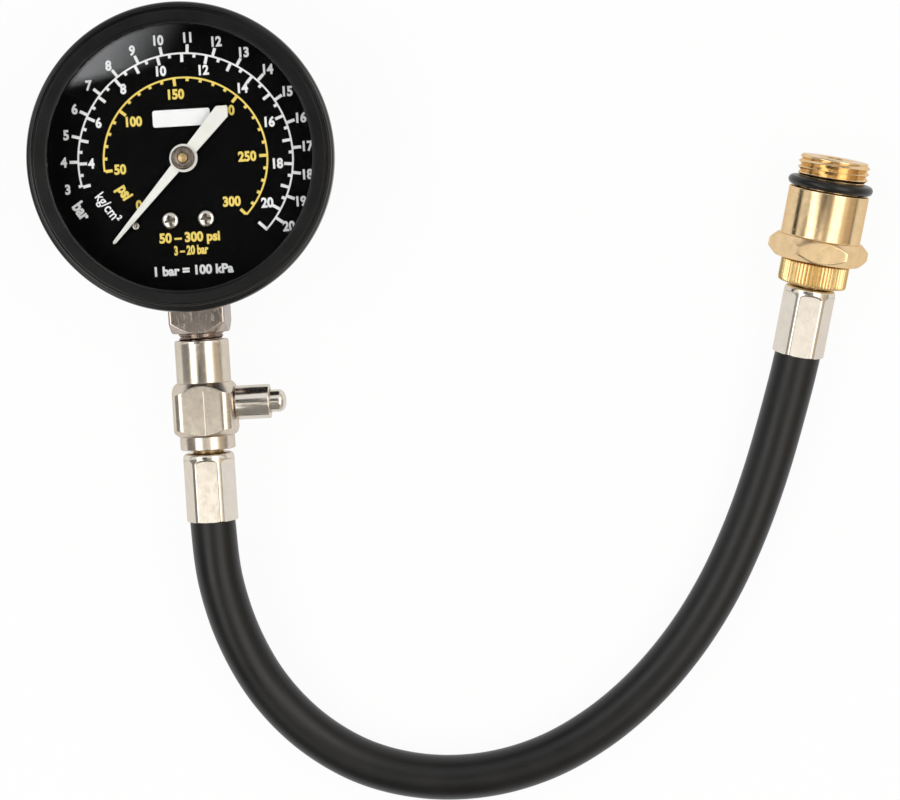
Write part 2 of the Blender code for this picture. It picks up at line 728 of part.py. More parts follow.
def build_plates():
    bottom = rounded_rectangle(plate_left, bottom_plate_end, plate_right, plate_top, plate_corner)
    top = rounded_rectangle(plate_left, top_plate_end, plate_right, plate_top, plate_corner)
    plates = {"movement_bottom_plate": (bottom, bottom_plate_low, bottom_plate_high),
              "movement_top_plate": (top, top_plate_low, top_plate_high)}
    for name, (outline, low, high) in plates.items():
        plate = make_piece(name, extruded(outline, low, high), "brass")
        centre = pivot_radius + run_gap if "bottom" in name else arbor_radius + run_gap
        holes = [(0, 0, centre), (arbor_x, arbor_y, pivot_radius + run_gap)]
        holes += [(x, y, pillar_radius / 2 + seat_gap) for x, y in pillar_places]
        pair = ((movement_screw_x, movement_screw_y) if "bottom" in name else (dial_screw_x, dial_screw_y))
        holes += [(sign * pair[0], pair[1], screw_shank_radius + seat_gap) for sign in (-1, 1)]
        for k, (x, y, radius) in enumerate(holes):
            shape_with(plate, f"{name}_hole_{k}", cylinder(radius, low - seat_gap, high + seat_gap),
                       location=(x, y, 0))
    for k, (x, y) in enumerate(pillar_places, 1):
        spigot = pillar_radius / 2
        low, high = bottom_plate_high + seat_gap, top_plate_low - seat_gap
        profile = [(0, bottom_plate_low), (spigot, bottom_plate_low), (spigot, low), (pillar_radius, low),
                   (pillar_radius, high), (spigot, high), (spigot, top_plate_high), (0, top_plate_high)]
        make_piece(f"pillar_{k}", turned(profile, small_steps), "brass", location=(x, y, 0))


def build_socket():
    half = shank_width / 2
    wall_inside = ((case_body_radius - case_wall - seat_gap) ** 2 - half ** 2) ** 0.5 - seat_gap
    chamfer = hypot(half, half) - shank_chamfer_radius
    turning = [(0, wall_inside - seat_gap), (2 * half, wall_inside - seat_gap),
               (2 * half, shank_end - chamfer), (shank_chamfer_radius, shank_end),
               (neck_radius, shank_end), (neck_radius, neck_end - neck_chamfer),
               (neck_radius - neck_chamfer, neck_end), (0, neck_end)]
    socket = make_piece("gauge_socket", turned(turning, body_steps), "nickel", stem_axis)
    bar = extruded(rounded_rectangle(-half, -half, half, half, shank_edge, 1),
                   wall_inside - 2 * seat_gap, neck_end + seat_gap)
    shape_with(socket, "socket_bar", bar, "INTERSECT", stem_axis)
    block = box((-half, -wall_inside, block_bottom), (half, -block_inner_end, block_top))
    shape_with(socket, "socket_block", block, "UNION")
    tongue = box((-tongue_width / 2, -block_inner_end - seat_gap, tongue_low),
                 (tongue_width / 2, -block_inner_end + tongue_reach, tongue_high))
    shape_with(socket, "socket_tongue", tongue, "UNION")
    bore_end = tube_radius - tube_depth / 2
    bore = turned([(0, bore_end), (gas_bore, bore_end), (gas_bore, neck_end + seat_gap),
                   (0, neck_end + seat_gap)], small_steps)
    shape_with(socket, "socket_bore", bore, "DIFFERENCE", stem_axis)
    out = tube_depth / 2 + seat_gap
    up = tube_height / 2 + seat_gap
    root_x = -half + tube_root_inset
    bow = tube_radius * (1 - cos(half / tube_radius))
    pocket = box((-half - seat_gap, -tube_radius - out, stem_height - up),
                 (root_x + seat_gap, -tube_radius + out + bow, stem_height + up))
    shape_with(socket, "root_pocket", pocket)
    passage = box((root_x, -tube_radius - gas_bore / 2, stem_height - gas_bore / 2),
                  (0, -tube_radius + gas_bore / 2, stem_height + gas_bore / 2))
    shape_with(socket, "root_passage", passage)
    hole = screw_shank_radius + seat_gap
    for side, sign in (("left", -1), ("right", 1)):
        dial_hole = cylinder(hole, screw_head_low - screw_length - seat_gap, block_top + seat_gap)
        shape_with(socket, "dial_thread_" + side, dial_hole, location=(sign * dial_screw_x, dial_screw_y, 0))
        case_hole = cylinder(hole, block_bottom - seat_gap, case_screw_length + seat_gap)
        shape_with(socket, "case_thread_" + side, case_hole, location=(sign * case_screw_x, case_screw_y, 0))
        tongue_hole = cylinder(hole, tongue_low - seat_gap, tongue_high + seat_gap)
        shape_with(socket, "tongue_thread_" + side, tongue_hole,
                   location=(sign * movement_screw_x, movement_screw_y, 0))
    outer = gas_bore - fit_gap
    start = neck_end - neck_chamfer - restrictor_length
    profile = [(restrictor_hole, start), (outer, start), (outer, start + restrictor_length),
               (restrictor_hole, start + restrictor_length)]
    make_piece("restrictor", turned(profile, small_steps, ring=True), "brass", stem_axis)


def build_tee():
    half = tee_width / 2
    neck_bore = neck_radius + seat_gap
    nipple_bore_radius = nipple_radius + seat_gap
    corner = hypot(half - tee_corner, half - tee_corner) + tee_corner
    slope = corner - tee_top_radius
    edge = edge_chamfer
    relief = tee_relief
    profile = [(neck_bore, tee_start), (tee_top_radius - edge, tee_start),
               (tee_top_radius, tee_start + edge), (tee_top_radius, tee_body_start),
               (tee_top_radius + relief, tee_body_start), (corner + relief, tee_body_start + slope),
               (corner + relief, tee_body_end - slope * tee_low_slope),
               (tee_low_radius + relief, tee_body_end),
               (tee_low_radius, tee_body_end), (tee_low_radius, tee_end - edge),
               (tee_low_radius - edge, tee_end), (nipple_bore_radius, tee_end),
               (nipple_bore_radius, tee_end - nipple_bore_depth), (gas_bore, tee_end - nipple_bore_depth),
               (gas_bore, tee_start + tee_neck_bore_depth), (neck_bore, tee_start + tee_neck_bore_depth)]
    tee = make_piece("tee_body", turned(profile, body_steps, ring=True), "nickel", stem_axis)
    bar = extruded(rounded_rectangle(-half, -half, half, half, tee_corner), tee_start - seat_gap,
                   tee_end + seat_gap)
    shape_with(tee, "tee_bar", bar, "INTERSECT", stem_axis)
    thread = barrel_thread_radius + seat_gap
    port = turned([(0, valve_chamber_start), (valve_chamber_radius, valve_chamber_start),
                   (valve_chamber_radius, barrel_seat - seat_gap), (thread, barrel_seat - seat_gap),
                   (thread, tee_width), (0, tee_width)], body_steps)
    shape_with(tee, "bleed_port", port, "DIFFERENCE", bleed_axis)
    link = cylinder(gas_bore / 2, 0, valve_chamber_start + seat_gap)
    shape_with(tee, "bleed_passage", link, "DIFFERENCE", bleed_axis)


def coil(radius, wire, low, high, turns):
    """A round wire wound about Z as one closed body with flat ends"""
    around, sides = 10, wire_sides
    steps = turns * around
    shape = bmesh.new()
    rings = []
    for k in range(steps + 1):
        angle = 2 * pi * k / around
        height = low + wire + (high - low - 2 * wire) * k / steps
        rings.append([shape.verts.new((*polar(radius + wire * cos(2 * pi * s / sides), angle),
                                       height + wire * sin(2 * pi * s / sides))) for s in range(sides)])
    for ring, following in zip(rings, rings[1:]):
        for s in range(sides):
            n = (s + 1) % sides
            shape.faces.new((ring[s], ring[n], following[n], following[s]))
    shape.faces.new(rings[0])
    shape.faces.new(rings[-1])
    return shape


def build_bleed_valve():
    """Pressing the button lifts the seal off the web and lets the gas out past the stem"""
    half = tee_width / 2
    bore = button_radius + slide_gap
    stem_bore = stem_radius + slide_gap
    inner_bore = seal_radius + slide_gap
    barrel = [(inner_bore, barrel_seat), (barrel_thread_radius, barrel_seat),
              (barrel_thread_radius, half + seat_gap), (barrel_radius, half + seat_gap),
              (barrel_radius, barrel_end - fine_chamfer), (barrel_radius - fine_chamfer, barrel_end),
              (bore, barrel_end), (bore, web_end), (stem_bore, web_end), (stem_bore, web_start),
              (inner_bore, web_start)]
    make_piece("bleed_barrel", turned(barrel, body_steps, ring=True), "nickel", bleed_axis)
    seal_end = web_start - seat_gap
    flange_end = seal_end - seal_thickness - seat_gap
    flange_start = flange_end - stem_flange
    dome = [(button_radius * cos(t) ** 0.6, button_end - button_dome + button_dome * sin(t))
            for t in (0.35, 0.75, 1.15)]
    button = [(0, flange_start), (seal_radius, flange_start), (seal_radius, flange_end),
              (stem_radius, flange_end), (stem_radius, button_head), (button_radius, button_head),
              (button_radius, button_end - button_dome), *dome, (0, button_end)]
    make_piece("bleed_button", turned(button, body_steps), "nickel", bleed_axis)
    seal_start = flange_end + seat_gap
    seal = [(stem_bore, seal_start), (seal_radius, seal_start), (seal_radius, seal_end),
            (stem_bore, seal_end)]
    make_piece("bleed_seal", turned(seal, small_steps, ring=True), "rubber", bleed_axis)
    spring_radius = (stem_radius + bore) / 2
    spring = coil(spring_radius, bleed_wire, web_end + seat_gap, button_head - seat_gap, bleed_spring_turns)
    make_piece("bleed_spring", spring, "steel", bleed_axis)


def build_ferrule(name, look_axis, start, direction):
    """A tube crimped to six flats; the flange end grips the nipple's neck"""
    bore = ferrule_flats / 2 - ferrule_wall
    neck = nipple_neck_radius + seat_gap
    length = ferrule_length
    mouth = length - ferrule_mouth_length

    def at(distance):
        return start + direction * distance

    profile = [(neck, at(0)), (ferrule_round - ferrule_shoulder, at(0)),
               (ferrule_round - fine_chamfer, at(ferrule_shoulder_length / 2)),
               (ferrule_round, at(ferrule_shoulder_length)), (ferrule_round, at(mouth)),
               (ferrule_round - fine_chamfer, at(length)), (bore + ferrule_mouth_lip, at(length)),
               (bore, at(mouth)), (bore, at(ferrule_flange)), (neck, at(ferrule_flange))]
    ferrule = make_piece(name, turned(profile, body_steps, ring=True), "nickel", look_axis)
    crimp_start = min(at(ferrule_collar), at(length + ferrule_collar))
    for side in range(6):
        flat = box((-ferrule_round, ferrule_flats / 2, crimp_start),
                   (ferrule_round, 2 * ferrule_round, crimp_start + length))
        shape_with(ferrule, f"{name}_crimp_{side}", flat, "DIFFERENCE", look_axis, turn=side * pi / 3)


def barbed_tail(start, direction, length):
    """Outer profile of the part that the hose is pushed over, from the ferrule's flange on"""
    points = []
    root = nipple_barb - nipple_barb_step
    pitch = (length - nipple_tail_plain) / nipple_barbs
    for k in range(nipple_barbs):
        foot = start + direction * (k * pitch)
        points += [(nipple_barb, foot), (root, foot + direction * pitch * barb_share)]
    points.append((root, start + direction * length))
    return points


def build_near_nipple():
    tee_foot = tee_end - nipple_bore_depth + seat_gap
    neck = nipple_neck_radius
    inside = near_ferrule_start + ferrule_flange + seat_gap
    tail = barbed_tail(inside, 1, near_mouth - inside - seat_gap)
    profile = [(nipple_bore, tee_foot), (nipple_radius, tee_foot), (nipple_radius, tee_end + seat_gap),
               (neck, tee_end + seat_gap), (neck, inside)]
    profile += tail + [(nipple_bore, near_mouth - seat_gap)]
    make_piece("near_hose_nipple", turned(profile, nipple_steps, ring=True), "brass", stem_axis)
    build_ferrule("near_ferrule", stem_axis, near_ferrule_start, 1)


def build_far_nipple():
    """Barbed tail, neck, knurled collar and the threaded end that screws into the adapter"""
    flange_inside = ferrule_length - ferrule_flange - seat_gap
    neck = nipple_neck_radius
    tail = list(reversed(barbed_tail(flange_inside, -1, flange_inside - seat_gap)))
    collar_end = knurl_start + knurl_length
    profile = [(nipple_bore, seat_gap)] + tail
    profile += [(neck, flange_inside), (neck, knurl_start + seat_gap),
                (insert_radius, knurl_start + seat_gap), (insert_radius, collar_end + insert_length),
                (nipple_bore, collar_end + insert_length)]
    nipple = make_piece("far_hose_nipple", turned(profile, nipple_steps, ring=True), "brass", plug_axis)
    around = 2 * knurl_ridges
    shape = bmesh.new()
    rows = ((knurl_start, knurl_radius - knurl_round, 0.0),
            (knurl_start + knurl_round_length / 2, knurl_radius - fine_chamfer, 0.6),
            (knurl_start + knurl_round_length, knurl_radius, 1.0),
            (collar_end - fine_chamfer, knurl_radius, 1.0),
            (collar_end, knurl_radius - edge_chamfer, 0.0))
    rings = []
    for height, radius, share in rows:
        rings.append([shape.verts.new((*polar(radius - (k % 2) * knurl_depth * share, 2 * pi * k / around),
                                       height)) for k in range(around)])
    for ring, following in zip(rings, rings[1:]):
        for k in range(around):
            n = (k + 1) % around
            shape.faces.new((ring[k], ring[n], following[n], following[k]))
    shape.faces.new(rings[0])
    shape.faces.new(rings[-1])
    shape_with(nipple, "knurled_collar", shape, "UNION", plug_axis)
    through = cylinder(nipple_bore, 0, collar_end + insert_length + seat_gap, nipple_steps)
    shape_with(nipple, "nipple_through", through, "DIFFERENCE", plug_axis)
    build_ferrule("far_ferrule", plug_axis, ferrule_length, -1)


def o_ring(name, middle_radius, thickness, height, steps, parent):
    section = [(middle_radius + thickness / 2 * cos(2 * pi * k / ring_sides),
                height + thickness / 2 * sin(2 * pi * k / ring_sides)) for k in range(ring_sides)]
    make_piece(name, turned(section, steps, ring=True), "rubber", parent)


def build_adapter():
    collar_end = knurl_start + knurl_length
    insert_bore = insert_radius + seat_gap
    insert_floor = collar_end + insert_length + seat_gap
    groove = small_ring_thickness + seat_gap
    valve_floor = thread_end - valve_bore_depth
    chamfer = (hex_length - hex_edge) / 2
    profile = [(insert_bore + groove, hex_start), (hex_end_radius, hex_start),
               (hex_corner_radius, hex_start + chamfer), (hex_corner_radius, hex_end - chamfer),
               (hex_end_radius, hex_end), (adapter_barrel_radius, hex_end),
               (adapter_barrel_radius, barrel_shoulder - edge_chamfer),
               (adapter_barrel_radius - edge_chamfer, barrel_shoulder), (groove_radius, barrel_shoulder),
               (groove_radius, thread_start), (thread_radius, thread_start),
               (thread_radius, thread_end - thread_chamfer), (thread_radius - thread_chamfer, thread_end),
               (valve_bore, thread_end), (valve_bore, valve_floor), (gas_bore, valve_floor),
               (gas_bore, insert_floor), (insert_bore, insert_floor), (insert_bore, hex_start + groove),
               (insert_bore + groove, hex_start + groove)]
    adapter = make_piece("spark_plug_adapter", turned(profile, adapter_steps, ring=True), "brass", plug_axis)
    bar = extruded(hexagon(hex_flats), hex_start - seat_gap, thread_end + seat_gap)
    shape_with(adapter, "hex_bar", bar, "INTERSECT", plug_axis)
    middle = groove_radius + seat_gap + o_ring_thickness / 2
    o_ring("adapter_o_ring", middle, o_ring_thickness, barrel_shoulder + seat_gap + o_ring_thickness / 2,
           adapter_steps, plug_axis)
    small = small_ring_thickness
    o_ring("nipple_o_ring", insert_radius + seat_gap + small / 2, small, collar_end + seat_gap + small / 2,
           nipple_steps, plug_axis)


def build_check_valve():
    """A screwed-in core that holds the highest pressure; its pin moves in against a spring"""
    high = thread_end - valve_body_inset
    low = high - valve_body_length
    hole = valve_pin_radius + slide_gap
    chamber = 2.6 * hole
    outer = valve_bore - fit_gap
    web_high = high - valve_seat_depth
    web_low = web_high - valve_web
    body = [(hole, web_high), (chamber, web_high), (chamber, high), (outer, high), (outer, low),
            (chamber, low), (chamber, web_low), (hole, web_low)]
    make_piece("check_valve_body", turned(body, small_steps, ring=True), "brass", plug_axis)
    head = chamber - slide_gap
    seal_high = web_low - seat_gap
    seal_low = seal_high - valve_seal_thickness
    flange_high = seal_low - seat_gap
    flange_low = flange_high - valve_pin_radius
    pin = [(0, flange_low), (head, flange_low), (head, flange_high), (valve_pin_radius, flange_high),
           (valve_pin_radius, high), (0, high)]
    make_piece("check_valve_pin", turned(pin, small_steps), "steel", plug_axis)
    seal = [(hole, seal_low), (head, seal_low), (head, seal_high), (hole, seal_high)]
    make_piece("check_valve_seal", turned(seal, small_steps, ring=True), "rubber", plug_axis)
    floor = thread_end - valve_bore_depth
    spring_radius = head * 0.8 + gas_bore * 0.2
    spring = coil(spring_radius, valve_wire, floor + seat_gap, flange_low - seat_gap, valve_spring_turns)
    make_piece("check_valve_spring", spring, "steel", plug_axis)


# The hose's route: centre points read off the photo from the near ferrule to the far one
hose_route = ((0.0000, -0.1000, 0.0137), (0.0032, -0.1192, 0.0115), (0.0132, -0.1403, 0.0079),
              (0.0305, -0.1563, 0.0061), (0.0530, -0.1633, 0.0059), (0.0762, -0.1613, 0.0059),
              (0.0973, -0.1514, 0.0059), (0.1149, -0.1360, 0.0059), (0.1287, -0.1172, 0.0059),
              (0.1390, -0.0962, 0.0061), (0.1464, -0.0752, 0.0071))
hose_point_spacing = 0.016
hose_lead = 0.004


def smooth_curve(points, per_span):
    """Catmull-Rom points through the route, ends included"""
    ends = [points[0] * 2 - points[1], *points, points[-1] * 2 - points[-2]]
    fine = []
    for a, b, c, d in zip(ends, ends[1:], ends[2:], ends[3:]):
        for k in range(per_span):
            t = k / per_span
            fine.append(0.5 * (2 * b + (c - a) * t + (2 * a - 5 * b + 4 * c - d) * t * t
                               + (3 * b - a - 3 * c + d) * t ** 3))
    fine.append(points[-1])
    return fine


def evenly_spaced(points, spacing):
    lengths = [0.0]
    for a, b in zip(points, points[1:]):
        lengths.append(lengths[-1] + (b - a).length)
    count = max(2, round(lengths[-1] / spacing))
    picked = []
    for k in range(count + 1):
        target = lengths[-1] * k / count
        n = next((i for i, length in enumerate(lengths) if length >= target - 1e-9), len(points) - 1)
        picked.append(points[n])
    return picked


def build_hose():
    start = Vector((0, -near_mouth - seat_gap, stem_height))
    heading = Vector((sin(far_heading) * cos(far_pitch), cos(far_heading) * cos(far_pitch), sin(far_pitch)))
    end = Vector((*far_mouth, far_height)) - heading * seat_gap
    first = start - Vector((0, hose_lead, 0))
    last = end - heading * hose_lead
    route = [start, first, *(Vector(point) for point in hose_route), last, end]
    middle = evenly_spaced(smooth_curve(route, 12), hose_point_spacing)
    points = [start, first, *middle[1:-1], last, end]
    curve = bpy.data.curves.new("hose", "CURVE")
    curve.dimensions = "3D"
    curve.bevel_depth = hose_radius
    curve.bevel_resolution = 3
    curve.use_fill_caps = True
    spline = curve.splines.new("POLY")
    spline.points.add(len(points) - 1)
    for point, place in zip(spline.points, points):
        point.co = (*place, 1)
    curve.materials.append(new_material("hose", *looks["rubber"]))
    link_object(bpy.data.objects.new("hose", curve))


build_case()
build_bezel()
build_lens()
build_dial()
build_screws()
build_pointer()
build_pinion()
build_hairspring()
build_sector()
build_link()
build_tube()
build_plates()
build_socket()
build_tee()
build_bleed_valve()
build_near_nipple()
build_far_nipple()
build_adapter()
build_check_valve()
build_hose()
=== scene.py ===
from math import atan, atan2, cos, hypot, pi, radians, sin, sqrt, tan

import bmesh
import bpy
import numpy as np
from mathutils import Euler, Matrix, Vector


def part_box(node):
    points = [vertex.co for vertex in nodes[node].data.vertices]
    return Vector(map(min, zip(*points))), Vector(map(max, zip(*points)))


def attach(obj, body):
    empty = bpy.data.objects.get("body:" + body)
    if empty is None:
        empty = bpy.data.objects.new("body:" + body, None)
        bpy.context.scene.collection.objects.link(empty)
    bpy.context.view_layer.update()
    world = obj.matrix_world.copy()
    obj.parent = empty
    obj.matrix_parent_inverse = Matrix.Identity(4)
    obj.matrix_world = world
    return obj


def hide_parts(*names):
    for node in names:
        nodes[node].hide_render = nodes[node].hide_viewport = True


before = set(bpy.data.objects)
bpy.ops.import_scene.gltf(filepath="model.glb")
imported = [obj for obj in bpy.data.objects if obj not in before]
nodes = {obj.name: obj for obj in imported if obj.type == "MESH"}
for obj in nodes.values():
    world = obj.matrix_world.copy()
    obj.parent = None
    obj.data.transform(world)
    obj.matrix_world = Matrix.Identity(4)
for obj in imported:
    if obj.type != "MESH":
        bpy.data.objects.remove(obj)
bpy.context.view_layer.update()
scene = bpy.context.scene
scene.view_settings.view_transform = "Standard"
mm = 0.001
print("frame loaded:", len(nodes), "nodes")

# Camera, straight above and a little to the right, as the tester was photographed
shot = {"eye": (86.93, -21.60, 648.02), "lookAt": (61.88, -65.62, 0), "roll": 3.1, "lens": 100}


def addCamera():
    eye, target = Vector(shot["eye"]) * mm, Vector(shot["lookAt"]) * mm
    forward = (target - eye).normalized()
    roll = radians(shot["roll"])
    right = Vector((cos(roll), -sin(roll), 0))
    right = (right - forward * right.dot(forward)).normalized()
    up = right.cross(forward)
    data = bpy.data.cameras.new("camera")
    data.lens = shot["lens"]
    data.clip_start, data.clip_end = 0.01, 50
    camera = bpy.data.objects.new("camera", data)
    scene.collection.objects.link(camera)
    camera.matrix_world = Matrix.Translation(eye) @ Matrix((right, up, -forward)).transposed().to_4x4()
    scene.camera = camera


addCamera()

# Frames of the pieces: local Z runs along each one's own axis
dialFrame = Matrix.Identity(4)
stemPlace = ((0, 0, 14), (90, 0, 0))
bleedPlace = ((0, -62.4, 14), (0, 90, 0))
plugPlace = ((151.46, -58.11, 8.3473), (6 - 90, 0, -13))


def placed(place):
    spot, turn = place
    return Matrix.Translation(Vector(spot) * mm) @ Euler([radians(a) for a in turn]).to_matrix().to_4x4()


stemFrame, bleedFrame, plugFrame = placed(stemPlace), placed(bleedPlace), placed(plugPlace)


# Node trees
def put(tree, kind, inputs=None, **settings):
    node = tree.nodes.new(kind)
    for name, value in settings.items():
        setattr(node, name, value)
    for name, value in (inputs or {}).items():
        socket = node.inputs[name]
        if isinstance(value, bpy.types.NodeSocket):
            tree.links.new(value, socket)
        else:
            socket.default_value = value
    return node


def calc(tree, operation, *values, clamp=False):
    return put(tree, "ShaderNodeMath", dict(enumerate(values)), operation=operation, use_clamp=clamp).outputs[0]


def ranged(tree, value, low, high, toLow=0.0, toHigh=1.0, kind="LINEAR"):
    return put(tree, "ShaderNodeMapRange", {"Value": value, "From Min": low, "From Max": high, "To Min": toLow,
                                            "To Max": toHigh}, interpolation_type=kind).outputs[0]


def mixed(tree, share, low, high, how="MIX"):
    return put(tree, "ShaderNodeMix", {0: share, 6: low, 7: high}, data_type="RGBA", blend_type=how).outputs[2]


def noise(tree, coords, scale, detail=2.0, rough=0.5):
    return put(tree, "ShaderNodeTexNoise", {"Vector": coords, "Scale": scale, "Detail": detail,
                                            "Roughness": rough}).outputs[0]


def stretched(tree, coords, scale):
    return put(tree, "ShaderNodeMapping", {"Vector": coords, "Scale": scale}).outputs[0]


def newTree(name, inputs):
    tree = bpy.data.node_groups.new(name, "GeometryNodeTree")
    tree.interface.new_socket("Geometry", in_out="INPUT", socket_type="NodeSocketGeometry")
    for label, kind, value in inputs:
        socket = tree.interface.new_socket(label, in_out="INPUT", socket_type="NodeSocket" + kind)
        if value is not None:
            socket.default_value = value
    tree.interface.new_socket("Geometry", in_out="OUTPUT", socket_type="NodeSocketGeometry")
    return tree, put(tree, "NodeGroupInput").outputs


def endTree(tree, geometry, finish):
    real = put(tree, "GeometryNodeRealizeInstances", {"Geometry": geometry}).outputs[0]
    coated = put(tree, "GeometryNodeSetMaterial", {"Geometry": real, "Material": finish}).outputs[0]
    put(tree, "NodeGroupOutput", {"Geometry": coated})
    return tree


def open1(sockets, name):
    return next(socket for socket in sockets if socket.name == name and socket.enabled)


# Meshes
def colour(red, green, blue):
    return (red, green, blue, 1)


def newObject(name, mesh):
    piece = bpy.data.objects.new(name, mesh)
    scene.collection.objects.link(piece)
    return piece


def grown(name, tree, source, values):
    # Runs a tree on a source mesh and keeps the result as a plain mesh
    piece = newObject(name + ".seed", source)
    modifier = piece.modifiers.new("grow", "NODES")
    modifier.node_group = tree
    keys = {item.name: item.identifier for item in tree.interface.items_tree if item.in_out == "INPUT"}
    for label, value in values.items():
        modifier[keys[label]] = value
    graph = bpy.context.evaluated_depsgraph_get()
    mesh = bpy.data.meshes.new_from_object(piece.evaluated_get(graph), depsgraph=graph)
    bpy.data.objects.remove(piece)
    mesh.name = name
    return mesh


def tidied(mesh, sharp=35, weld=2e-7, flat=False):
    shape = bmesh.new()
    shape.from_mesh(mesh)
    bmesh.ops.remove_doubles(shape, verts=shape.verts, dist=weld)
    bmesh.ops.dissolve_degenerate(shape, edges=shape.edges, dist=weld)
    bmesh.ops.recalc_face_normals(shape, faces=shape.faces)
    if shape.calc_volume(signed=True) < 0:
        bmesh.ops.reverse_faces(shape, faces=shape.faces)
    shape.to_mesh(mesh)
    shape.free()
    if flat:
        mesh.shade_flat()
    else:
        mesh.shade_smooth()
        mesh.set_sharp_from_angle(angle=radians(sharp))
    return mesh


def baked(piece):
    # Applies the modifiers of a piece
    graph = bpy.context.evaluated_depsgraph_get()
    mesh = bpy.data.meshes.new_from_object(piece.evaluated_get(graph), depsgraph=graph)
    old = piece.data
    piece.modifiers.clear()
    piece.data = mesh
    bpy.data.meshes.remove(old)
    return piece


def carved(piece, tools, how="DIFFERENCE"):
    for tool in tools:
        modifier = piece.modifiers.new("carve", "BOOLEAN")
        modifier.operation, modifier.solver, modifier.object = how, "EXACT", tool
    baked(piece)
    for tool in tools:
        bpy.data.objects.remove(tool)
    tidied(piece.data)
    return piece


def eased(points, ease, closed=True, steps=4):
    # Rounds the corners of an outline; a point's third number is its own rounding
    out = []
    for k, point in enumerate(points):
        own = point[2] if len(point) > 2 else ease
        here = Vector(point[:2])
        if own == 0 or (not closed and k in (0, len(points) - 1)):
            out.append(here)
            continue
        back = Vector(points[k - 1][:2]) - here
        ahead = Vector(points[(k + 1) % len(points)][:2]) - here
        own = min(own, back.length * 0.48, ahead.length * 0.48)
        first, last = here + back.normalized() * own, here + ahead.normalized() * own
        for step in range(steps + 1):
            t = step / steps
            out.append(first * (1 - t) ** 2 + here * 2 * t * (1 - t) + last * t * t)
    return out


def divided(points, spans, closed=True):
    # Adds rows where a span of heights needs them: spans hold (low, high, step)
    out = []
    count = len(points)
    for k in range(count if closed else count - 1):
        a, b = points[k], points[(k + 1) % count]
        out.append(a)
        steps = [step for low, high, step in spans if max(a.y, b.y) > low and min(a.y, b.y) < high]
        pieces = int((b - a).length / min(steps)) if steps else 0
        out += [a.lerp(b, (n + 1) / (pieces + 1)) for n in range(pieces)]
    if not closed:
        out.append(points[-1])
    return out


def outlineMesh(points, closed, weights):
    mesh = bpy.data.meshes.new("outline")
    points = list(points) + ([points[0]] if closed else [])
    mesh.from_pydata([(p[0] * mm, 0, p[1] * mm) for p in points], [], [])
    for name, rule in weights.items():
        attribute = mesh.attributes.new(name, "FLOAT", "POINT")
        attribute.data.foreach_set("value", [float(rule(p[0], p[1])) for p in points])
    return mesh


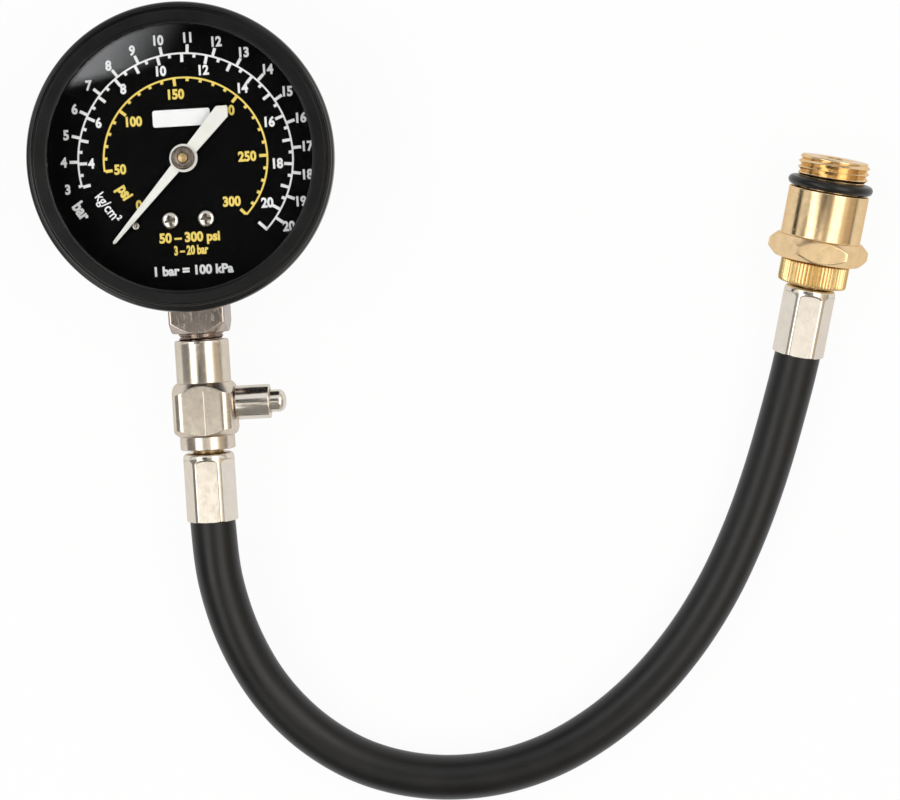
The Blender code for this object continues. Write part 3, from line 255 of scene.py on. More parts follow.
def latheTree():
    # Turns an outline about Z; rows marked bar, thread or ridge are milled, threaded or knurled
    tree, given = newTree("turned piece", [
        ("Steps", "Int", 160), ("Sides", "Int", 6), ("Flats", "Float", 0.02), ("Corner", "Float", 0.0),
        ("Ease", "Float", 0.0002), ("Press Start", "Float", -1.0), ("Press Fade", "Float", 0.001),
        ("Press Depth", "Float", 0.0012),
        ("Press Round", "Float", 0.0), ("Pitch", "Float", 0.0015), ("Thread Depth", "Float", 0.0),
        ("Ridges", "Int", 60), ("Ridge Depth", "Float", 0.0), ("Finish", "Material", None)])
    outline = given["Geometry"]
    rows = put(tree, "GeometryNodeAttributeDomainSize", {"Geometry": outline}).outputs["Point Count"]
    columns = calc(tree, "ADD", given["Steps"], 1)
    grid = put(tree, "GeometryNodeMeshGrid", {"Size X": 1.0, "Size Y": 1.0, "Vertices X": rows,
                                              "Vertices Y": columns}).outputs["Mesh"]
    index = put(tree, "GeometryNodeInputIndex").outputs[0]
    row = calc(tree, "FLOOR", calc(tree, "DIVIDE", calc(tree, "ADD", index, 0.5), columns))
    column = calc(tree, "SUBTRACT", index, calc(tree, "MULTIPLY", row, columns))
    angle = calc(tree, "MULTIPLY", calc(tree, "DIVIDE", column, given["Steps"]), 2 * pi)

    def fromRow(value, kind):
        node = put(tree, "GeometryNodeSampleIndex", {"Geometry": outline, "Index": row}, data_type=kind)
        tree.links.new(value, open1(node.inputs, "Value"))
        return open1(node.outputs, "Value")

    def weight(name):
        node = put(tree, "GeometryNodeInputNamedAttribute", {"Name": name}, data_type="FLOAT")
        return fromRow(open1(node.outputs, "Attribute"), "FLOAT")

    spot = put(tree, "ShaderNodeSeparateXYZ", {0: fromRow(put(tree, "GeometryNodeInputPosition").outputs[0],
                                                         "FLOAT_VECTOR")}).outputs
    radius, height = spot["X"], spot["Z"]
    # Bar: distance to the nearest flat, with a rounded corner between flats
    pitchAngle = calc(tree, "DIVIDE", 2 * pi, given["Sides"])
    half = calc(tree, "MULTIPLY", pitchAngle, 0.5)
    offset = calc(tree, "ABSOLUTE", calc(tree, "SUBTRACT", calc(
        tree, "FLOORED_MODULO", calc(tree, "ADD", angle, half), pitchAngle), half))
    inner = calc(tree, "MULTIPLY", given["Flats"], 0.5)
    flat = calc(tree, "DIVIDE", inner, calc(tree, "COSINE", offset))
    core = calc(tree, "SUBTRACT", inner, given["Corner"])
    centre = calc(tree, "DIVIDE", core, calc(tree, "COSINE", half))
    fromCorner = calc(tree, "SUBTRACT", half, offset)
    aside = calc(tree, "MULTIPLY", centre, calc(tree, "SINE", fromCorner))
    bulge = calc(tree, "SQRT", calc(tree, "MAXIMUM", calc(tree, "SUBTRACT", calc(
        tree, "MULTIPLY", given["Corner"], given["Corner"]), calc(tree, "MULTIPLY", aside, aside)), 0.0))
    round1 = calc(tree, "ADD", calc(tree, "MULTIPLY", centre, calc(tree, "COSINE", fromCorner)), bulge)
    limit = calc(tree, "SUBTRACT", half, calc(tree, "ARCTANGENT", calc(
        tree, "DIVIDE", calc(tree, "MULTIPLY", core, calc(tree, "TANGENT", half)), inner)))
    atCorner = calc(tree, "LESS_THAN", fromCorner, limit)
    bar = put(tree, "ShaderNodeMix", {0: atCorner, 2: flat, 3: round1}, data_type="FLOAT").outputs[0]
    # Pressed flats fade out towards their start, with rounded corners
    lift = calc(tree, "MULTIPLY", given["Press Round"], calc(tree, "POWER", calc(
        tree, "MINIMUM", calc(tree, "DIVIDE", offset, calc(tree, "MULTIPLY", half, 0.85)), 1.2), 4.0))
    begin = calc(tree, "ADD", given["Press Start"], lift)
    pressed = put(tree, "ShaderNodeMapRange", {"Value": height, "From Min": begin, "From Max": calc(
        tree, "ADD", begin, given["Press Fade"])}, interpolation_type="SMOOTHSTEP").outputs[0]
    unpressed = calc(tree, "MULTIPLY", calc(tree, "SUBTRACT", 1.0, pressed), given["Press Depth"])
    loose = calc(tree, "ADD", unpressed, calc(tree, "SUBTRACT", 1.0, weight("bar")))
    radius = calc(tree, "SMOOTH_MIN", radius, calc(tree, "ADD", bar, loose), given["Ease"])
    # Thread: one V for each pitch, climbing once a turn
    climb = calc(tree, "SUBTRACT", calc(tree, "DIVIDE", height, given["Pitch"]),
                 calc(tree, "DIVIDE", angle, 2 * pi))
    tooth = calc(tree, "PINGPONG", climb, 0.5)
    cut = calc(tree, "MULTIPLY", calc(tree, "MULTIPLY", tooth, 2.0), given["Thread Depth"])
    radius = calc(tree, "SUBTRACT", radius, calc(tree, "MULTIPLY", cut, weight("thread")))
    # Knurl: straight ridges
    wave = calc(tree, "PINGPONG", calc(tree, "DIVIDE", calc(tree, "MULTIPLY", angle, given["Ridges"]), 2 * pi), 0.5)
    groove = calc(tree, "SUBTRACT", 1.0, calc(tree, "POWER", calc(tree, "MULTIPLY", wave, 2.0), 0.7))
    radius = calc(tree, "SUBTRACT", radius, calc(tree, "MULTIPLY", calc(
        tree, "MULTIPLY", groove, given["Ridge Depth"]), weight("ridge")))
    place = put(tree, "ShaderNodeCombineXYZ", {"X": calc(tree, "MULTIPLY", radius, calc(tree, "COSINE", angle)),
                                               "Y": calc(tree, "MULTIPLY", radius, calc(tree, "SINE", angle)),
                                               "Z": height}).outputs[0]
    moved = put(tree, "GeometryNodeSetPosition", {"Geometry": grid, "Position": place}).outputs[0]
    closed = put(tree, "GeometryNodeMergeByDistance", {"Geometry": moved, "Distance": 3e-7}).outputs[0]
    return endTree(tree, closed, given["Finish"])


lathe = latheTree()


def none(radius, height):
    return 0.0


def turnedPiece(name, points, finish, place=dialFrame, closed=True, steps=160, sharp=35, bar=none,
                thread=none, ridge=none, **values):
    values = {label.replace("_", " ").title(): value for label, value in values.items()}
    seed = outlineMesh(points, closed, {"bar": bar, "thread": thread, "ridge": ridge})
    mesh = grown(name, lathe, seed, {"Steps": steps, "Finish": finish, **values})
    mesh.transform(place)
    return newObject(name, tidied(mesh, sharp))


def blockMesh(low, high, place=dialFrame):
    shape = bmesh.new()
    bmesh.ops.create_cube(shape, size=1)
    for vert in shape.verts:
        vert.co = [(low[n] + (vert.co[n] + 0.5) * (high[n] - low[n])) * mm for n in range(3)]
    bmesh.ops.transform(shape, matrix=place, verts=shape.verts)
    mesh = bpy.data.meshes.new("block")
    shape.to_mesh(mesh)
    shape.free()
    return tidied(mesh, flat=True)


def rodTool(radius, low, high, x=0.0, y=0.0, place=dialFrame, steps=48):
    points = [Vector(p) for p in ((0, low), (radius, low), (radius, high), (0, high))]
    tool = turnedPiece("tool", points, None, closed=False, steps=steps)
    tool.data.transform(place @ Matrix.Translation((x * mm, y * mm, 0)))
    return tool


def slab(name, outlines, low, high, finish):
    # Flat pieces from closed outlines of (x, y), joined in one mesh
    shape = bmesh.new()
    for outline in outlines:
        rows = [[shape.verts.new((x * mm, y * mm, z * mm)) for x, y in outline] for z in (low, high)]
        shape.faces.new(rows[1])
        shape.faces.new(rows[0][::-1])
        for k in range(len(outline)):
            n = (k + 1) % len(outline)
            shape.faces.new((rows[0][k], rows[0][n], rows[1][n], rows[1][k]))
    mesh = bpy.data.meshes.new(name)
    shape.to_mesh(mesh)
    shape.free()
    mesh.materials.append(finish)
    return newObject(name, tidied(mesh, flat=True))


def arcPoints(centre, radius, start, end, steps):
    return [(centre[0] + radius * cos(start + (end - start) * k / steps),
             centre[1] + radius * sin(start + (end - start) * k / steps)) for k in range(steps + 1)]


def use(piece, body, slot, *replaced):
    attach(piece, body)
    if replaced:
        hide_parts(*replaced)
    return piece


# Finishes
def newFinish(name):
    material = bpy.data.materials.new(name)
    material.use_nodes = True
    material.node_tree.nodes.clear()
    return material, material.node_tree


def axisCoords(tree, place):
    # Object coordinates in millimetres in the frame of the piece's own axis
    spot, turn = place
    coords = put(tree, "ShaderNodeTexCoord").outputs["Object"]
    return put(tree, "ShaderNodeMapping", {"Vector": coords, "Location": [v * mm for v in spot], "Rotation": [
        radians(a) for a in turn], "Scale": (mm, mm, mm)}, vector_type="TEXTURE").outputs[0]


def shaded(tree, inputs, height, depth, strength=1.0):
    bump = put(tree, "ShaderNodeBump", {"Strength": strength, "Distance": depth * mm, "Height": height}).outputs[0]
    shader = put(tree, "ShaderNodeBsdfPrincipled", {**inputs, "Normal": bump})
    put(tree, "ShaderNodeOutputMaterial", {"Surface": shader.outputs[0]})


home = ((0, 0, 0), (0, 0, 0))
metals = {
    "nickel": {"colour": (0.68, 0.61, 0.52), "dull": (0.48, 0.43, 0.36), "rough": 0.20, "spread": 0.12,
               "marks": 0.5, "grain": 0.5, "scratch": 0.5, "depth": 0.004},
    "satinNickel": {"colour": (0.50, 0.44, 0.40), "dull": (0.32, 0.28, 0.25), "rough": 0.15, "spread": 0.10,
                    "marks": 0.05, "grain": 0.8, "scratch": 1.0, "depth": 0.005},
    "chrome": {"colour": (0.74, 0.69, 0.62), "dull": (0.58, 0.53, 0.46), "rough": 0.18, "spread": 0.08,
               "marks": 0.3, "grain": 0.2, "scratch": 0.3, "depth": 0.003},
    "crimped": {"colour": (0.75, 0.69, 0.61), "dull": (0.60, 0.54, 0.45), "rough": 0.17, "spread": 0.04,
                "marks": 0.1, "grain": 0.4, "scratch": 0.3, "depth": 0.003},
    "brass": {"colour": (0.81, 0.60, 0.35), "dull": (0.54, 0.38, 0.19), "rough": 0.16, "spread": 0.10,
              "marks": 1.5, "grain": 0.3, "scratch": 0.6, "depth": 0.004},
    "sandyBrass": {"colour": (0.68, 0.45, 0.25), "dull": (0.60, 0.39, 0.20), "rough": 0.44, "spread": 0.10,
                   "marks": 0.2, "grain": 1.0, "scratch": 0.4, "depth": 0.012},
    "goldenBrass": {"colour": (0.82, 0.61, 0.31), "dull": (0.60, 0.42, 0.17), "rough": 0.30, "spread": 0.10,
                    "marks": 0.4, "grain": 0.6, "scratch": 0.2, "depth": 0.006},
    "dullBrass": {"colour": (0.42, 0.30, 0.15), "dull": (0.28, 0.19, 0.09), "rough": 0.30, "spread": 0.12,
                  "marks": 0.8, "grain": 0.8, "scratch": 0.2, "depth": 0.006},
    "steel": {"colour": (0.68, 0.64, 0.59), "dull": (0.46, 0.43, 0.39), "rough": 0.16, "spread": 0.12,
              "marks": 0.5, "grain": 0.4, "scratch": 0.3, "depth": 0.004},
    # Dark steel: the hub cap's own colour, also used as painted shade inside the dial screws' cross recesses
    "darkSteelAndShade": {"colour": (0.30, 0.25, 0.21), "dull": (0.17, 0.14, 0.12), "rough": 0.24, "spread": 0.12,
                  "marks": 0.5, "grain": 0.4, "scratch": 0.3, "depth": 0.004},
    "bronze": {"colour": (0.74, 0.49, 0.28), "dull": (0.48, 0.29, 0.16), "rough": 0.26, "spread": 0.12,
               "marks": 0.5, "grain": 0.4, "scratch": 0.2, "depth": 0.004},
}


def metal(name, look, place):
    material, tree = newFinish(name)
    coords = axisCoords(tree, place)
    marks = noise(tree, stretched(tree, coords, (0.06, 0.06, 12.0)), 1.6, 3.0, 0.7)   # lathe marks across the axis
    lines = ranged(tree, marks, 0.60, 0.68)
    cloud = noise(tree, coords, 0.35, 4.0, 0.6)
    grain = noise(tree, coords, 9.0, 3.0, 0.6)
    specks = ranged(tree, noise(tree, coords, 3.2, 1.0, 0.4), 0.68, 0.76)
    tarnish = calc(tree, "MULTIPLY", ranged(tree, cloud, 0.42, 0.72), 0.3)
    tarnish = calc(tree, "ADD", tarnish, calc(tree, "MULTIPLY", specks, 0.6))
    tarnish = calc(tree, "ADD", tarnish, calc(tree, "MULTIPLY", lines, look["marks"] * 0.35), clamp=True)
    shade = mixed(tree, tarnish, colour(*look["colour"]), colour(*look["dull"]))
    rough = calc(tree, "ADD", look["rough"], calc(tree, "MULTIPLY", calc(
        tree, "SUBTRACT", calc(tree, "ADD", cloud, calc(tree, "MULTIPLY", grain, 0.5)), 0.75), look["spread"] * 2))
    rough = calc(tree, "MAXIMUM", calc(tree, "ADD", rough, calc(tree, "MULTIPLY", specks, 0.15)), 0.04)
    height = calc(tree, "ADD", calc(tree, "MULTIPLY", marks, look["marks"]), calc(tree, "MULTIPLY", grain, look["grain"]))
    # Handling scratches: two crossing sets of thin lines
    crossing = [ranged(tree, noise(tree, stretched(tree, coords, scale), 1.0, 1.0, 0.4), 0.66, 0.71)
                for scale in ((7.0, 0.5, 0.35), (0.9, 5.0, 0.3))]
    scratch = calc(tree, "MULTIPLY", calc(tree, "MAXIMUM", *crossing), look["scratch"])
    rough = calc(tree, "ADD", rough, calc(tree, "MULTIPLY", scratch, 0.12))
    height = calc(tree, "SUBTRACT", height, calc(tree, "MULTIPLY", calc(tree, "ADD", specks, scratch), 0.8))
    shaded(tree, {"Base Color": shade, "Metallic": 1.0, "Roughness": rough,
                  "Specular Tint": colour(*(0.35 + 0.65 * v for v in look["colour"]))}, height, look["depth"])
    return material


paints = {
    "enamel": {"colour": (0.0025, 0.0025, 0.0027), "dust": (0.008, 0.008, 0.008), "rough": 0.12, "spread": 0.05,
               "shine": 0.45, "peel": 0.2, "grain": 0.1, "depth": 0.006},
    "satinEnamel": {"colour": (0.0045, 0.0045, 0.0052), "dust": (0.010, 0.010, 0.011), "rough": 0.30, "spread": 0.08,
                    "shine": 0.28, "peel": 0.2, "grain": 0.5, "depth": 0.006},
    "dialBlack": {"colour": (0.0012, 0.0012, 0.0014), "dust": (0.003, 0.003, 0.003), "rough": 0.50, "spread": 0.06,
                  "shine": 0.03, "peel": 0.1, "grain": 0.2, "depth": 0.002},
    "pointerWhite": {"colour": (0.80, 0.80, 0.78), "dust": (0.62, 0.61, 0.58), "rough": 0.38, "spread": 0.1,
                     "shine": 0.5, "peel": 0.5, "grain": 0.3, "depth": 0.004},
    "whiteInk": {"colour": (0.80, 0.81, 0.84), "dust": (0.66, 0.67, 0.70), "rough": 0.5, "spread": 0.1,
                 "shine": 0.3, "peel": 0.2, "grain": 0.8, "depth": 0.003},
    "yellowInk": {"colour": (0.78, 0.60, 0.13), "dust": (0.64, 0.48, 0.09), "rough": 0.5, "spread": 0.1,
                  "shine": 0.3, "peel": 0.2, "grain": 0.8, "depth": 0.003},
    "rubber": {"colour": (0.0035, 0.0035, 0.0038), "dust": (0.010, 0.010, 0.0095), "rough": 0.37, "spread": 0.10,
               "shine": 0.37, "peel": 0.4, "grain": 1.0, "depth": 0.015},
    "ringRubber": {"colour": (0.004, 0.004, 0.0042), "dust": (0.010, 0.010, 0.010), "rough": 0.32, "spread": 0.1,
                   "shine": 0.4, "peel": 0.3, "grain": 0.5, "depth": 0.008},
}


def paint(name, look):
    material, tree = newFinish(name)
    coords = axisCoords(tree, home)
    cloud = noise(tree, coords, 0.12, 4.0, 0.6)
    peel = noise(tree, coords, 1.3, 2.0, 0.5)
    grain = noise(tree, coords, 7.0, 3.0, 0.6)
    dust = ranged(tree, noise(tree, coords, 2.1, 1.0, 0.4), 0.74, 0.80)
    share = calc(tree, "ADD", calc(tree, "MULTIPLY", ranged(tree, cloud, 0.45, 0.75), 0.35), dust, clamp=True)
    shade = mixed(tree, share, colour(*look["colour"]), colour(*look["dust"]))
    rough = calc(tree, "ADD", look["rough"], calc(tree, "MULTIPLY", calc(
        tree, "SUBTRACT", calc(tree, "ADD", cloud, calc(tree, "MULTIPLY", grain, 0.5)), 0.75), look["spread"] * 2))
    height = calc(tree, "ADD", calc(tree, "MULTIPLY", peel, look["peel"]), calc(tree, "MULTIPLY", grain, look["grain"]))
    shaded(tree, {"Base Color": shade, "Roughness": rough, "Specular IOR Level": look["shine"]}, height, look["depth"])
    return material


glassLook = {"colour": (0.985, 0.995, 0.99), "ior": 1.45}


def lensGlass():
    material, tree = newFinish("lensGlass")
    coords = axisCoords(tree, home)
    smear = noise(tree, coords, 0.10, 3.0, 0.6)
    rough = ranged(tree, smear, 0.3, 0.8, 0.0, 0.03)
    glass = put(tree, "ShaderNodeBsdfPrincipled", {
        "Base Color": colour(*glassLook["colour"]), "Roughness": rough, "IOR": glassLook["ior"],
        "Transmission Weight": 1.0}).outputs[0]
    clear = put(tree, "ShaderNodeBsdfTransparent").outputs[0]
    shadow = put(tree, "ShaderNodeLightPath").outputs["Is Shadow Ray"]
    both = put(tree, "ShaderNodeMixShader", {0: shadow, 1: glass, 2: clear}).outputs[0]
    put(tree, "ShaderNodeOutputMaterial", {"Surface": both})
    return material


def metalsFor(place, suffix, *kinds):
    return {kind: metal(kind + suffix, metals[kind], place) for kind in kinds}


stemMetals = metalsFor(stemPlace, "Stem", "nickel", "satinNickel", "crimped", "brass", "dullBrass")
bleedMetals = metalsFor(bleedPlace, "Bleed", "chrome", "steel")
plugMetals = metalsFor(plugPlace, "Plug", "crimped", "brass", "sandyBrass", "goldenBrass", "steel")
gaugeMetals = metalsFor(home, "Gauge", "steel", "darkSteelAndShade", "brass", "dullBrass", "bronze")
coats = {name: paint(name, look) for name, look in paints.items()}
coats["glass"] = lensGlass()
print("finishes made")

# Hose: the centre line of the CAD hose, straight out of both crimp fittings
hoseLook = {"radius": 5.8, "inside": 0.7, "lead": 4.0, "spacing": 16.0, "sides": 64, "step": 1.2, "route": (
    (0.0, -100.0, 13.7), (3.2, -119.2, 11.5), (13.2, -140.3, 7.9), (30.5, -156.3, 6.1), (53.0, -163.3, 5.9),
    (76.2, -161.3, 5.9), (97.3, -151.4, 5.9), (114.9, -136.0, 5.9), (128.7, -117.2, 5.9), (139.0, -96.2, 6.1),
    (146.4, -75.2, 7.1))}


def curvePoints(points, perSpan):
    ends = [points[0] * 2 - points[1], *points, points[-1] * 2 - points[-2]]
    fine = []
    for a, b, c, d in zip(ends, ends[1:], ends[2:], ends[3:]):
        for k in range(perSpan):
            t = k / perSpan
            fine.append(0.5 * (2 * b + (c - a) * t + (2 * a - 5 * b + 4 * c - d) * t * t
                               + (3 * b - a - 3 * c + d) * t ** 3))
    return fine + [points[-1]]


def evenly(points, count):
    steps = np.concatenate([[0], np.cumsum([(b - a).length for a, b in zip(points, points[1:])])])
    wanted = np.linspace(0, steps[-1], count + 1)
    table = np.array([tuple(p) for p in points])
    return [Vector([np.interp(w, steps, table[:, n]) for n in range(3)]) for w in wanted]


def hoseTree():
    # Sweeps a round section along a line, and keeps how far along and around each point is
    tree, given = newTree("hose along a line", [("Radius", "Float", 0.005), ("Sides", "Int", 32),
                                                ("Finish", "Material", None)])
    line = put(tree, "GeometryNodeMeshToCurve", {"Mesh": given["Geometry"]}).outputs[0]
    length = put(tree, "GeometryNodeSplineParameter").outputs["Length"]
    line = put(tree, "GeometryNodeStoreNamedAttribute", {"Geometry": line, "Name": "along"}, data_type="FLOAT")
    tree.links.new(length, open1(line.inputs, "Value"))
    ring = put(tree, "GeometryNodeCurvePrimitiveCircle", {"Resolution": given["Sides"], "Radius": given["Radius"]})
    ring = put(tree, "GeometryNodeStoreNamedAttribute", {"Geometry": ring.outputs[0], "Name": "around"},
               data_type="FLOAT")
    tree.links.new(put(tree, "GeometryNodeSplineParameter").outputs["Factor"], open1(ring.inputs, "Value"))
    tube = put(tree, "GeometryNodeCurveToMesh", {"Curve": line.outputs[0], "Profile Curve": ring.outputs[0],
                                                 "Fill Caps": True}).outputs[0]
    smooth = put(tree, "GeometryNodeSetShadeSmooth", {"Geometry": tube}).outputs[0]
    return endTree(tree, smooth, given["Finish"])


def makeHose():
    start = Vector((0, -92.5, 14.0))
    heading = plugFrame.to_3x3() @ Vector((0, 0, 1))
    mouth = Vector(plugPlace[0])
    end = mouth - heading * 0.3
    lead = hoseLook["lead"]
    route = [start, start - Vector((0, lead, 0)), *(Vector(p) for p in hoseLook["route"]), end - heading * lead, end]
    rough = curvePoints(route, 24)
    length = sum((b - a).length for a, b in zip(rough, rough[1:]))
    spaced = evenly(rough, round(length / hoseLook["spacing"]))
    before, after = start + Vector((0, hoseLook["spacing"], 0)), end + heading * hoseLook["spacing"]
    fine = curvePoints([before, *spaced, after], 24)[24:-24]
    fine = [start + Vector((0, hoseLook["inside"] + 0.3, 0)), *fine, mouth + heading * hoseLook["inside"]]
    length = sum((b - a).length for a, b in zip(fine, fine[1:]))
    dense = evenly(fine, round(length / hoseLook["step"]))
    path = evenly(fine, 32)
    mesh = bpy.data.meshes.new("hose line")
    mesh.from_pydata([p * mm for p in dense], [(k, k + 1) for k in range(len(dense) - 1)], [])
    mesh = grown("rubberHose", hoseTree(), mesh, {"Radius": hoseLook["radius"] * mm, "Sides": hoseLook["sides"],
                                                  "Finish": coats["rubber"]})
    hose = newObject("rubberHose", tidied(mesh, 50))
    use(hose, "gauge", "rubber", "hose")
    return hose, path, length


hose, hosePath, hoseLength = makeHose()
print("hose: %.1f mm" % hoseLength)

# Case: drawn cup with a flange, window for the shank, dimpled back
caseLook = {"radius": 37.0, "body": 36.0, "wall": 0.8, "back": 1.6, "corner": 4.0, "high": 28.5, "flangeLow": 25.2,
            "slope": 0.7, "window": 7.45, "shankHeight": 14.0, "screwX": 4.0, "screwY": -24.0, "steps": 192}


def makeCase():
    look = caseLook
    body, wall, low = look["body"], look["wall"], look["flangeLow"]
    outer = [(0, 0), (body - look["corner"] - 6, 0, 0.6), (body - look["corner"] - 5.6, 0.25, 0.3),
             (body - look["corner"] - 5.2, 0, 0.3)]
    outer += [(body - look["corner"] + x, look["corner"] + y, 0)
              for x, y in arcPoints((0, 0), look["corner"], -pi / 2, 0, 12)]
    outer += [(body, low - look["slope"], 0.4), (look["radius"], low, 0.4), (look["radius"], look["high"], 0.1),
              (look["radius"] - wall, look["high"], 0.1), (look["radius"] - wall, low + 0.4, 0.3),
              (body - wall, low + 0.4 - look["slope"], 0.3), (body - wall, look["back"], 1.5), (0, look["back"])]
    case = turnedPiece("gaugeCase", eased(outer, 0.2, closed=False), coats["enamel"], closed=False, steps=look["steps"])
    half, mid = look["window"], look["shankHeight"]
    tools = [newObject("tool", blockMesh((-half, -look["radius"] - wall, mid - half),
                                         (half, -look["radius"] / 2, mid + half)))]
    for x in (-look["screwX"], look["screwX"]):
        sink = [Vector(p) for p in ((0, -0.3), (3.0, -0.3), (1.3, look["back"] - 0.3), (1.3, look["back"] + 0.3),
                                    (0, look["back"] + 0.3))]
        tool = turnedPiece("tool", sink, None, closed=False, steps=48)
        tool.data.transform(Matrix.Translation((x * mm, look["screwY"] * mm, 0)))
        tools.append(tool)
    carved(case, tools)
    use(case, "gauge", "black_paint", "case")


# Bezel: spun ring with a flat band, a groove, two beads and a crimped edge
bezelLook = {"steps": 256, "ease": 0.06, "outline": (
    (32.80, 32.60), (32.80, 33.28, 0.14), (33.05, 33.46, 0.10), (33.22, 33.44), (33.30, 33.28), (33.48, 33.28), (33.56, 33.50),
    (35.92, 33.50, 0.10), (36.04, 33.16), (36.38, 33.14), (36.46, 33.30), (36.98, 33.26, 0.10), (37.06, 33.00), (37.26, 32.98),
    (37.34, 33.06), (37.80, 32.88, 0.16), (38.12, 32.20, 0.3), (38.20, 31.30, 0.3), (38.10, 29.5), (37.70, 23.95),
    (37.30, 23.20, 0.15), (36.30, 23.20), (36.30, 23.80), (37.30, 24.90), (37.30, 32.60))}


def makeBezel():
    points = eased(bezelLook["outline"], bezelLook["ease"])
    bezel = turnedPiece("bezel", points, coats["enamel"], steps=bezelLook["steps"], sharp=60)
    modifier = bezel.modifiers.new("normals", "WEIGHTED_NORMAL")
    modifier.weight, modifier.keep_sharp = 90, True
    baked(bezel)
    mesh = bezel.data
    mesh.materials.append(coats["satinEnamel"])
    satin = len(mesh.materials) - 1
    for face in mesh.polygons:
        reach = hypot(face.center.x, face.center.y) / mm
        if face.normal.z > 0.9 and 33.6 < reach < 35.88:
            face.material_index = satin
    use(bezel, "gauge", "black_paint", "bezel_ring")


makeCase()
makeBezel()
print("case and bezel made")

# Dial print. Angles go clockwise from the dial's own down; calibration in psi to degrees
dialLook = {"centre": (0.18, -0.34), "low": 22.905, "high": 22.945, "line": 0.45, "tick": 0.75,
            "psi": (50, 100, 150, 200, 250, 300), "turn": (84.7, 129.8, 175.4, 222.6, 270.2, 315.4),
            "white": {"radius": 26.93, "from": 78.3, "to": 314.3, "flat": 0.98},
            "yellow": {"radius": 20.53, "from": 84.7, "to": 315.4, "flat": 0.993},
            "digits": 3.34, "squeeze": 0.90, "bold": 0.042}
perBar, perKilogram = 14.504, 14.223


def turnOf(psi):
    if psi < 50:
        return dialLook["turn"][0] - (50 - psi) * 0.902
    return float(np.interp(psi, dialLook["psi"], dialLook["turn"]))


def dialSpot(turn, radius, arc):
    x, y = dialLook["centre"]
    return x - radius * sin(radians(turn)), y - radius * cos(radians(turn)) * dialLook[arc]["flat"]


def tickTree():
    # One slab at each point, turned and sized by the point's own values
    tree, given = newTree("scale ticks", [("Width", "Float", 0.001), ("Thickness", "Float", 0.0001),
                                          ("Finish", "Material", None)])

    def own(name):
        node = put(tree, "GeometryNodeInputNamedAttribute", {"Name": name}, data_type="FLOAT")
        return open1(node.outputs, "Attribute")

    slabShape = put(tree, "GeometryNodeMeshCube", {"Size": (1, 1, 1)}).outputs["Mesh"]
    turn = put(tree, "ShaderNodeCombineXYZ", {"Z": own("turn")}).outputs[0]
    size = put(tree, "ShaderNodeCombineXYZ", {"X": given["Width"], "Y": own("reach"), "Z": given["Thickness"]})
    points = put(tree, "GeometryNodeMeshToPoints", {"Mesh": given["Geometry"]}).outputs[0]
    ticks = put(tree, "GeometryNodeInstanceOnPoints", {"Points": points, "Instance": slabShape, "Rotation": turn,
                                                       "Scale": size.outputs[0]}).outputs[0]
    return endTree(tree, ticks, given["Finish"])


ticksOnArc = tickTree()


def tickMesh(arc, rows, finish):
    # Each row is (turn, radius at one end, radius at the other)
    mesh = bpy.data.meshes.new("ticks")
    middle = 0.5 * (dialLook["low"] + dialLook["high"])
    spots = [dialSpot(turn, (a + b) / 2, arc) for turn, a, b in rows]
    mesh.from_pydata([(x * mm, y * mm, middle * mm) for x, y in spots], [], [])
    for label, values in (("turn", [-radians(turn) for turn, a, b in rows]),
                          ("reach", [abs(b - a) * mm for turn, a, b in rows])):
        mesh.attributes.new(label, "FLOAT", "POINT").data.foreach_set("value", values)
    return grown("ticks", ticksOnArc, mesh, {"Width": dialLook["tick"] * mm, "Finish": finish,
                                          "Thickness": (dialLook["high"] - dialLook["low"]) * mm})


def arcStrip(arc, finish):
    half = dialLook["line"] / 2
    look = dialLook[arc]
    turns = np.linspace(look["from"], look["to"], 181)
    outline = [dialSpot(t, look["radius"] + half, arc) for t in turns]
    outline += [dialSpot(t, look["radius"] - half, arc) for t in turns[::-1]]
    return slab("arc", [outline], dialLook["low"], dialLook["high"], finish)


def wordMesh(text, x, y, finish, size=None, turn=0.0, squeeze=None, spacing=1.0, bold=None):
    data = bpy.data.curves.new("word", "FONT")
    data.body = text
    data.align_x, data.align_y = "CENTER", "CENTER"
    data.size = (size or dialLook["digits"]) * mm
    data.space_character = spacing
    data.offset = (dialLook["bold"] if bold is None else bold) * data.size
    data.resolution_u = 3
    data.extrude = (dialLook["high"] - dialLook["low"]) / 2 * mm
    word = newObject("word", data)
    graph = bpy.context.evaluated_depsgraph_get()
    mesh = bpy.data.meshes.new_from_object(word.evaluated_get(graph), depsgraph=graph)
    bpy.data.objects.remove(word)
    mesh.transform(Matrix.Diagonal((squeeze or dialLook["squeeze"], 1, 1, 1)))
    co = np.zeros(len(mesh.vertices) * 3)
    mesh.vertices.foreach_get("co", co)
    co = co.reshape(-1, 3)
    centre = (co.max(0) + co.min(0)) / 2
    middle = (dialLook["low"] + dialLook["high"]) / 2
    mesh.transform(Matrix.Translation((x * mm, y * mm, middle * mm)) @ Matrix.Rotation(radians(turn), 4, "Z")
                   @ Matrix.Translation(-Vector(centre)))
    mesh.materials.clear()
    mesh.materials.append(finish)
    return mesh


def joined(name, meshes):
    # Objects or meshes become one object
    shape = bmesh.new()
    finish = None
    for item in meshes:
        mesh = item.data if isinstance(item, bpy.types.Object) else item
        finish = mesh.materials[0]
        shape.from_mesh(mesh)
        if isinstance(item, bpy.types.Object):
            bpy.data.objects.remove(item)
    mesh = bpy.data.meshes.new(name)
    shape.to_mesh(mesh)
    shape.free()
    for face in mesh.polygons:
        face.material_index = 0
    mesh.materials.append(finish)
    mesh.shade_flat()
    return newObject(name, mesh)


